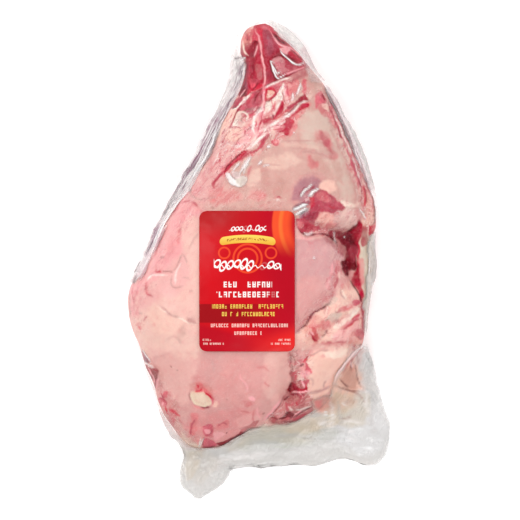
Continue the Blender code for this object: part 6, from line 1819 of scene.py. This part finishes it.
def labelFinish():
    # red fields that darken to one side, a lighter sweep, a yellow bar, rings, rows of loops and of blocks
    finish = Finish("printedPaper")
    place = finish.add("ShaderNodeTexCoord", output=3)
    parts = [finish.add("ShaderNodeSeparateXYZ", {}, {"Vector": place}, output=axis) for axis in (0, 1)]
    across = parts[0] * (1 / mm) - label["centre"][0]
    along = parts[1] * (1 / mm) - label["centre"][1]
    soft = finish.noise(place, 26, 2, 0.5)

    def function(operation, value, other=0):
        return finish.add("ShaderNodeMath", {"operation": operation}, {0: value, 1: other})

    def random(first, second, seed):
        spot = finish.add("ShaderNodeCombineXYZ", {}, {0: first, 1: second, 2: seed})
        return finish.add("ShaderNodeTexWhiteNoise", {"noise_dimensions": "3D"}, {"Vector": spot})

    def span(centre, reach, blur=0.3):
        return finish.band(function("ABSOLUTE", across - centre), reach + blur, reach - blur)

    def ring(x, y, radius, half):
        away = ((across - x) ** 2 + (along - y) ** 2) ** 0.5
        return finish.band(function("ABSOLUTE", away - radius), half + 0.2, half - 0.2)

    # fields of red
    field = finish.mix(finish.band(across + along * 0.12, -10, 34), colour("labelBright"), colour("labelDeep"))
    field = finish.mix(finish.band(along, 34, 62) * finish.band(across, 20, -30), field, colour("labelDull"))
    band = finish.band(along, -20.5, -21.5) * finish.band(along, -39, -37.5) * finish.band(across, 34, -6)
    field = finish.mix(band * 0.85, field, colour("labelShade"))
    lower = finish.band(along + across * 0.25, -48, -54) * finish.band(across, 14, -8)
    field = finish.mix(lower * 0.8, field, colour("labelDeep"))
    corner = finish.band(along - across * 0.3, -48, -66) * finish.band(across, 0, 30)
    field = finish.mix(corner, field, colour("labelGlow"))
    radius = ((across - 80) ** 2 + (along - 52) ** 2) ** 0.5
    sweep = finish.band(radius, 58, 56) * finish.band(radius, 36, 44) * finish.band(along, 20, 44)
    field = finish.mix(sweep, field, colour("labelSweep"))
    field = finish.mix(finish.band(radius, 52, 50) * finish.band(radius, 46, 49) * sweep * 0.5, field, colour("labelGold"))
    field = finish.mix(finish.band(soft, 0.35, 0.7) * 0.16, field, colour("labelShade"))
    # rings
    rings = ring(0.5, 21, 13, 0.9) + ring(0.5, 21, 9, 0.9) + ring(-21, 26, 5, 0.8) + ring(22, 26, 5, 0.8)
    ink = finish.mix(rings * 0.75, field, colour("labelSweep"))
    # arched bar with a row of blocks
    arched = along + (across ** 2) * 0.0042
    overX = function("MAXIMUM", function("ABSOLUTE", across - 0.5) - 22, 0)
    bar = finish.band((overX ** 2 + (arched - 39) ** 2) ** 0.5, 3.9, 3.5)
    ink = finish.mix(bar, ink, finish.mix(finish.band(along, 33, 42), colour("inkGold"), colour("inkYellow")))
    specks = finish.band(random(function("FLOOR", across / 0.8), function("FLOOR", arched / 0.8), 3.0), 0.45, 0.55)
    barRow = finish.band(function("ABSOLUTE", arched - 39), 1.3, 1.0) * span(0.5, 19) * specks
    ink = finish.mix(barRow * 0.75, ink, colour("labelShade"))
    # rows of signs: each pitch holds two stems and three bars, each shown or not by its own random number
    level, density, seeds, inks = [0 * along] * 3 + [{}]
    for height, reach, centre, half, pitch, seed, inkName in printRows:
        row = finish.band(function("ABSOLUTE", along - height), half * 1.06, half * 0.96) * span(centre, reach)
        inside = function("GREATER_THAN", row, 0.02)
        level = level + inside * (along - height) * (1 / half)
        density = density + inside * (1 / pitch)
        seeds = seeds + inside * seed
        inks[inkName] = row + inks.get(inkName, 0)
    cell = function("FLOOR", across * density)
    u = across * density - cell
    first, second, third, fourth = [random(cell, turn, seeds) for turn in (1, 2, 3, 4)]
    stems = finish.band(function("ABSOLUTE", u - 0.24), 0.16, 0.10) * finish.band(first, 0.14, 0.16)
    stems = stems + finish.band(function("ABSOLUTE", u - 0.70), 0.15, 0.09) * finish.band(second, 0.40, 0.42)
    bars = finish.band(function("ABSOLUTE", level - 0.8), 0.3, 0.18) * finish.band(third, 0.30, 0.32)
    bars = bars + finish.band(function("ABSOLUTE", level + 0.8), 0.3, 0.18) * finish.band(third, 0.72, 0.70)
    bars = bars + finish.band(function("ABSOLUTE", level), 0.26, 0.16) * finish.band(first, 0.62, 0.60)
    bars = bars * finish.band(function("ABSOLUTE", u - 0.47), 0.34, 0.26)
    signs = function("MINIMUM", (stems + bars) * finish.band(fourth, 0.13, 0.15), 1)
    for inkName, rows in inks.items():
        ink = finish.mix(rows * signs * 0.92, ink, colour(inkName))
    # rows of slanted loops, each of a random height, on a wavy thread
    for height, reach, centre, size, pitch, half, seed in loopRows:
        slanted = (across - (along - height) * 0.35) / pitch
        cell = function("FLOOR", slanted)
        tall = random(cell, 1, seed)
        raised = along - height - (random(cell, 2, seed) - 0.5) * size
        out = (((slanted - cell - 0.5) / 0.42) ** 2 + (raised / (size * (tall * 0.7 + 0.75))) ** 2) ** 0.5
        loop = finish.band(function("ABSOLUTE", out - 1) * (pitch * 0.42), half + 0.15, half - 0.25)
        wave = function("SINE", slanted * (2 * np.pi)) * (size * 0.35)
        thread = finish.band(function("ABSOLUTE", along - height + size * 0.5 - wave), half, half - 0.35)
        shown = function("MAXIMUM", loop * finish.band(random(cell, 3, seed), 0.1, 0.14), thread)
        ink = finish.mix(shown * span(centre, reach), ink, colour("white"))
    grain = finish.noise(place, 1600, 2, 0.5)
    normal = finish.bump(grain * 0.3 + finish.noise(place, 60, 3, 0.5), 0.25, 0.0007)
    return finish.surface({
        "Base Color": ink, "Roughness": finish.band(grain, 0.3, 0.7, 0.34, 0.46), "Normal": normal,
        "Coat Weight": 0.08, "Coat Roughness": 0.2, "Specular IOR Level": 0.12,
    })


print("paper label")
paperLabel = makeLabel(filmLevel)
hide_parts("label")
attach(paperLabel, "root")


# ---- floor, light and camera

studio = {
    "cameraHeight": 5.0,
    "viewHeight": 483.6,        # what the frame shows at the leg's middle level
    "viewCentre": (1.4, -0.5),
    "middleLevel": 30,
    "skyStrength": 0.158,
    "floorGlow": 0.3,           # keeps the shadows on the table pale
    # soft boxes round the table: place in metres, size, power
    "boxes": {
        "leftBox": ((-2.0, 0.5, 2.2), 1.5, 43),
        "rightBox": ((2.1, 0.2, 2.1), 1.5, 31),
        "shankBox": ((-0.2, 2.2, 2.0), 1.4, 28),
        "rumpBox": ((0.3, -2.2, 2.1), 1.4, 29),
    },
}


def makeFloor():
    size = 12.0
    grid = np.array([[[-size, -size, 0], [size, -size, 0]], [[-size, size, 0], [size, size, 0]]])
    finish = Finish("paleFloor")
    place = finish.add("ShaderNodeTexCoord", output=3)
    dust = finish.noise(place, 9, 3, 0.5)
    shade = finish.mix(dust, (0.93, 0.93, 0.93, 1), (0.95, 0.95, 0.95, 1))
    floor = sheetMesh("floor", grid / mm, finish.surface({
        "Base Color": shade, "Roughness": 0.85,
        "Emission Color": (1, 1, 1, 1), "Emission Strength": studio["floorGlow"],
    }))


def addLight(name, place, aim, width, length, power):
    lamp = bpy.data.lights.new(name, "AREA")
    lamp.shape = "RECTANGLE"
    lamp.size, lamp.size_y = width, length
    lamp.energy = power
    holder = bpy.data.objects.new(name, lamp)
    holder.location = place
    away = np.array(place) - np.array(aim)
    flat = np.hypot(away[0], away[1])
    holder.rotation_euler = (np.arctan2(flat, away[2]), 0, np.arctan2(away[0], -away[1]) if flat > 1e-6 else 0)
    holder.visible_camera = False
    bpy.context.scene.collection.objects.link(holder)


def makeStudio():
    world = bpy.data.worlds.new("studioSky")
    world.use_nodes = True
    sky = world.node_tree.nodes["Background"]
    sky.inputs["Color"].default_value = (1, 1, 1, 1)
    sky.inputs["Strength"].default_value = studio["skyStrength"]
    bpy.context.scene.world = world
    for name, (place, size, power) in studio["boxes"].items():
        addLight(name, place, (0, 0, 0.04), size, size, power)
    bpy.context.scene.view_settings.view_transform = "Standard"
    lens = bpy.data.cameras.new("camera")
    reach = studio["cameraHeight"] - studio["middleLevel"] * mm
    lens.sensor_fit = "HORIZONTAL"
    lens.lens = lens.sensor_width * reach / (studio["viewHeight"] * mm)
    lens.clip_end = 100
    holder = bpy.data.objects.new("camera", lens)
    holder.location = (studio["viewCentre"][0] * mm, studio["viewCentre"][1] * mm, studio["cameraHeight"])
    bpy.context.scene.collection.objects.link(holder)
    bpy.context.scene.camera = holder


print("floor, light and camera")
makeFloor()
makeStudio()
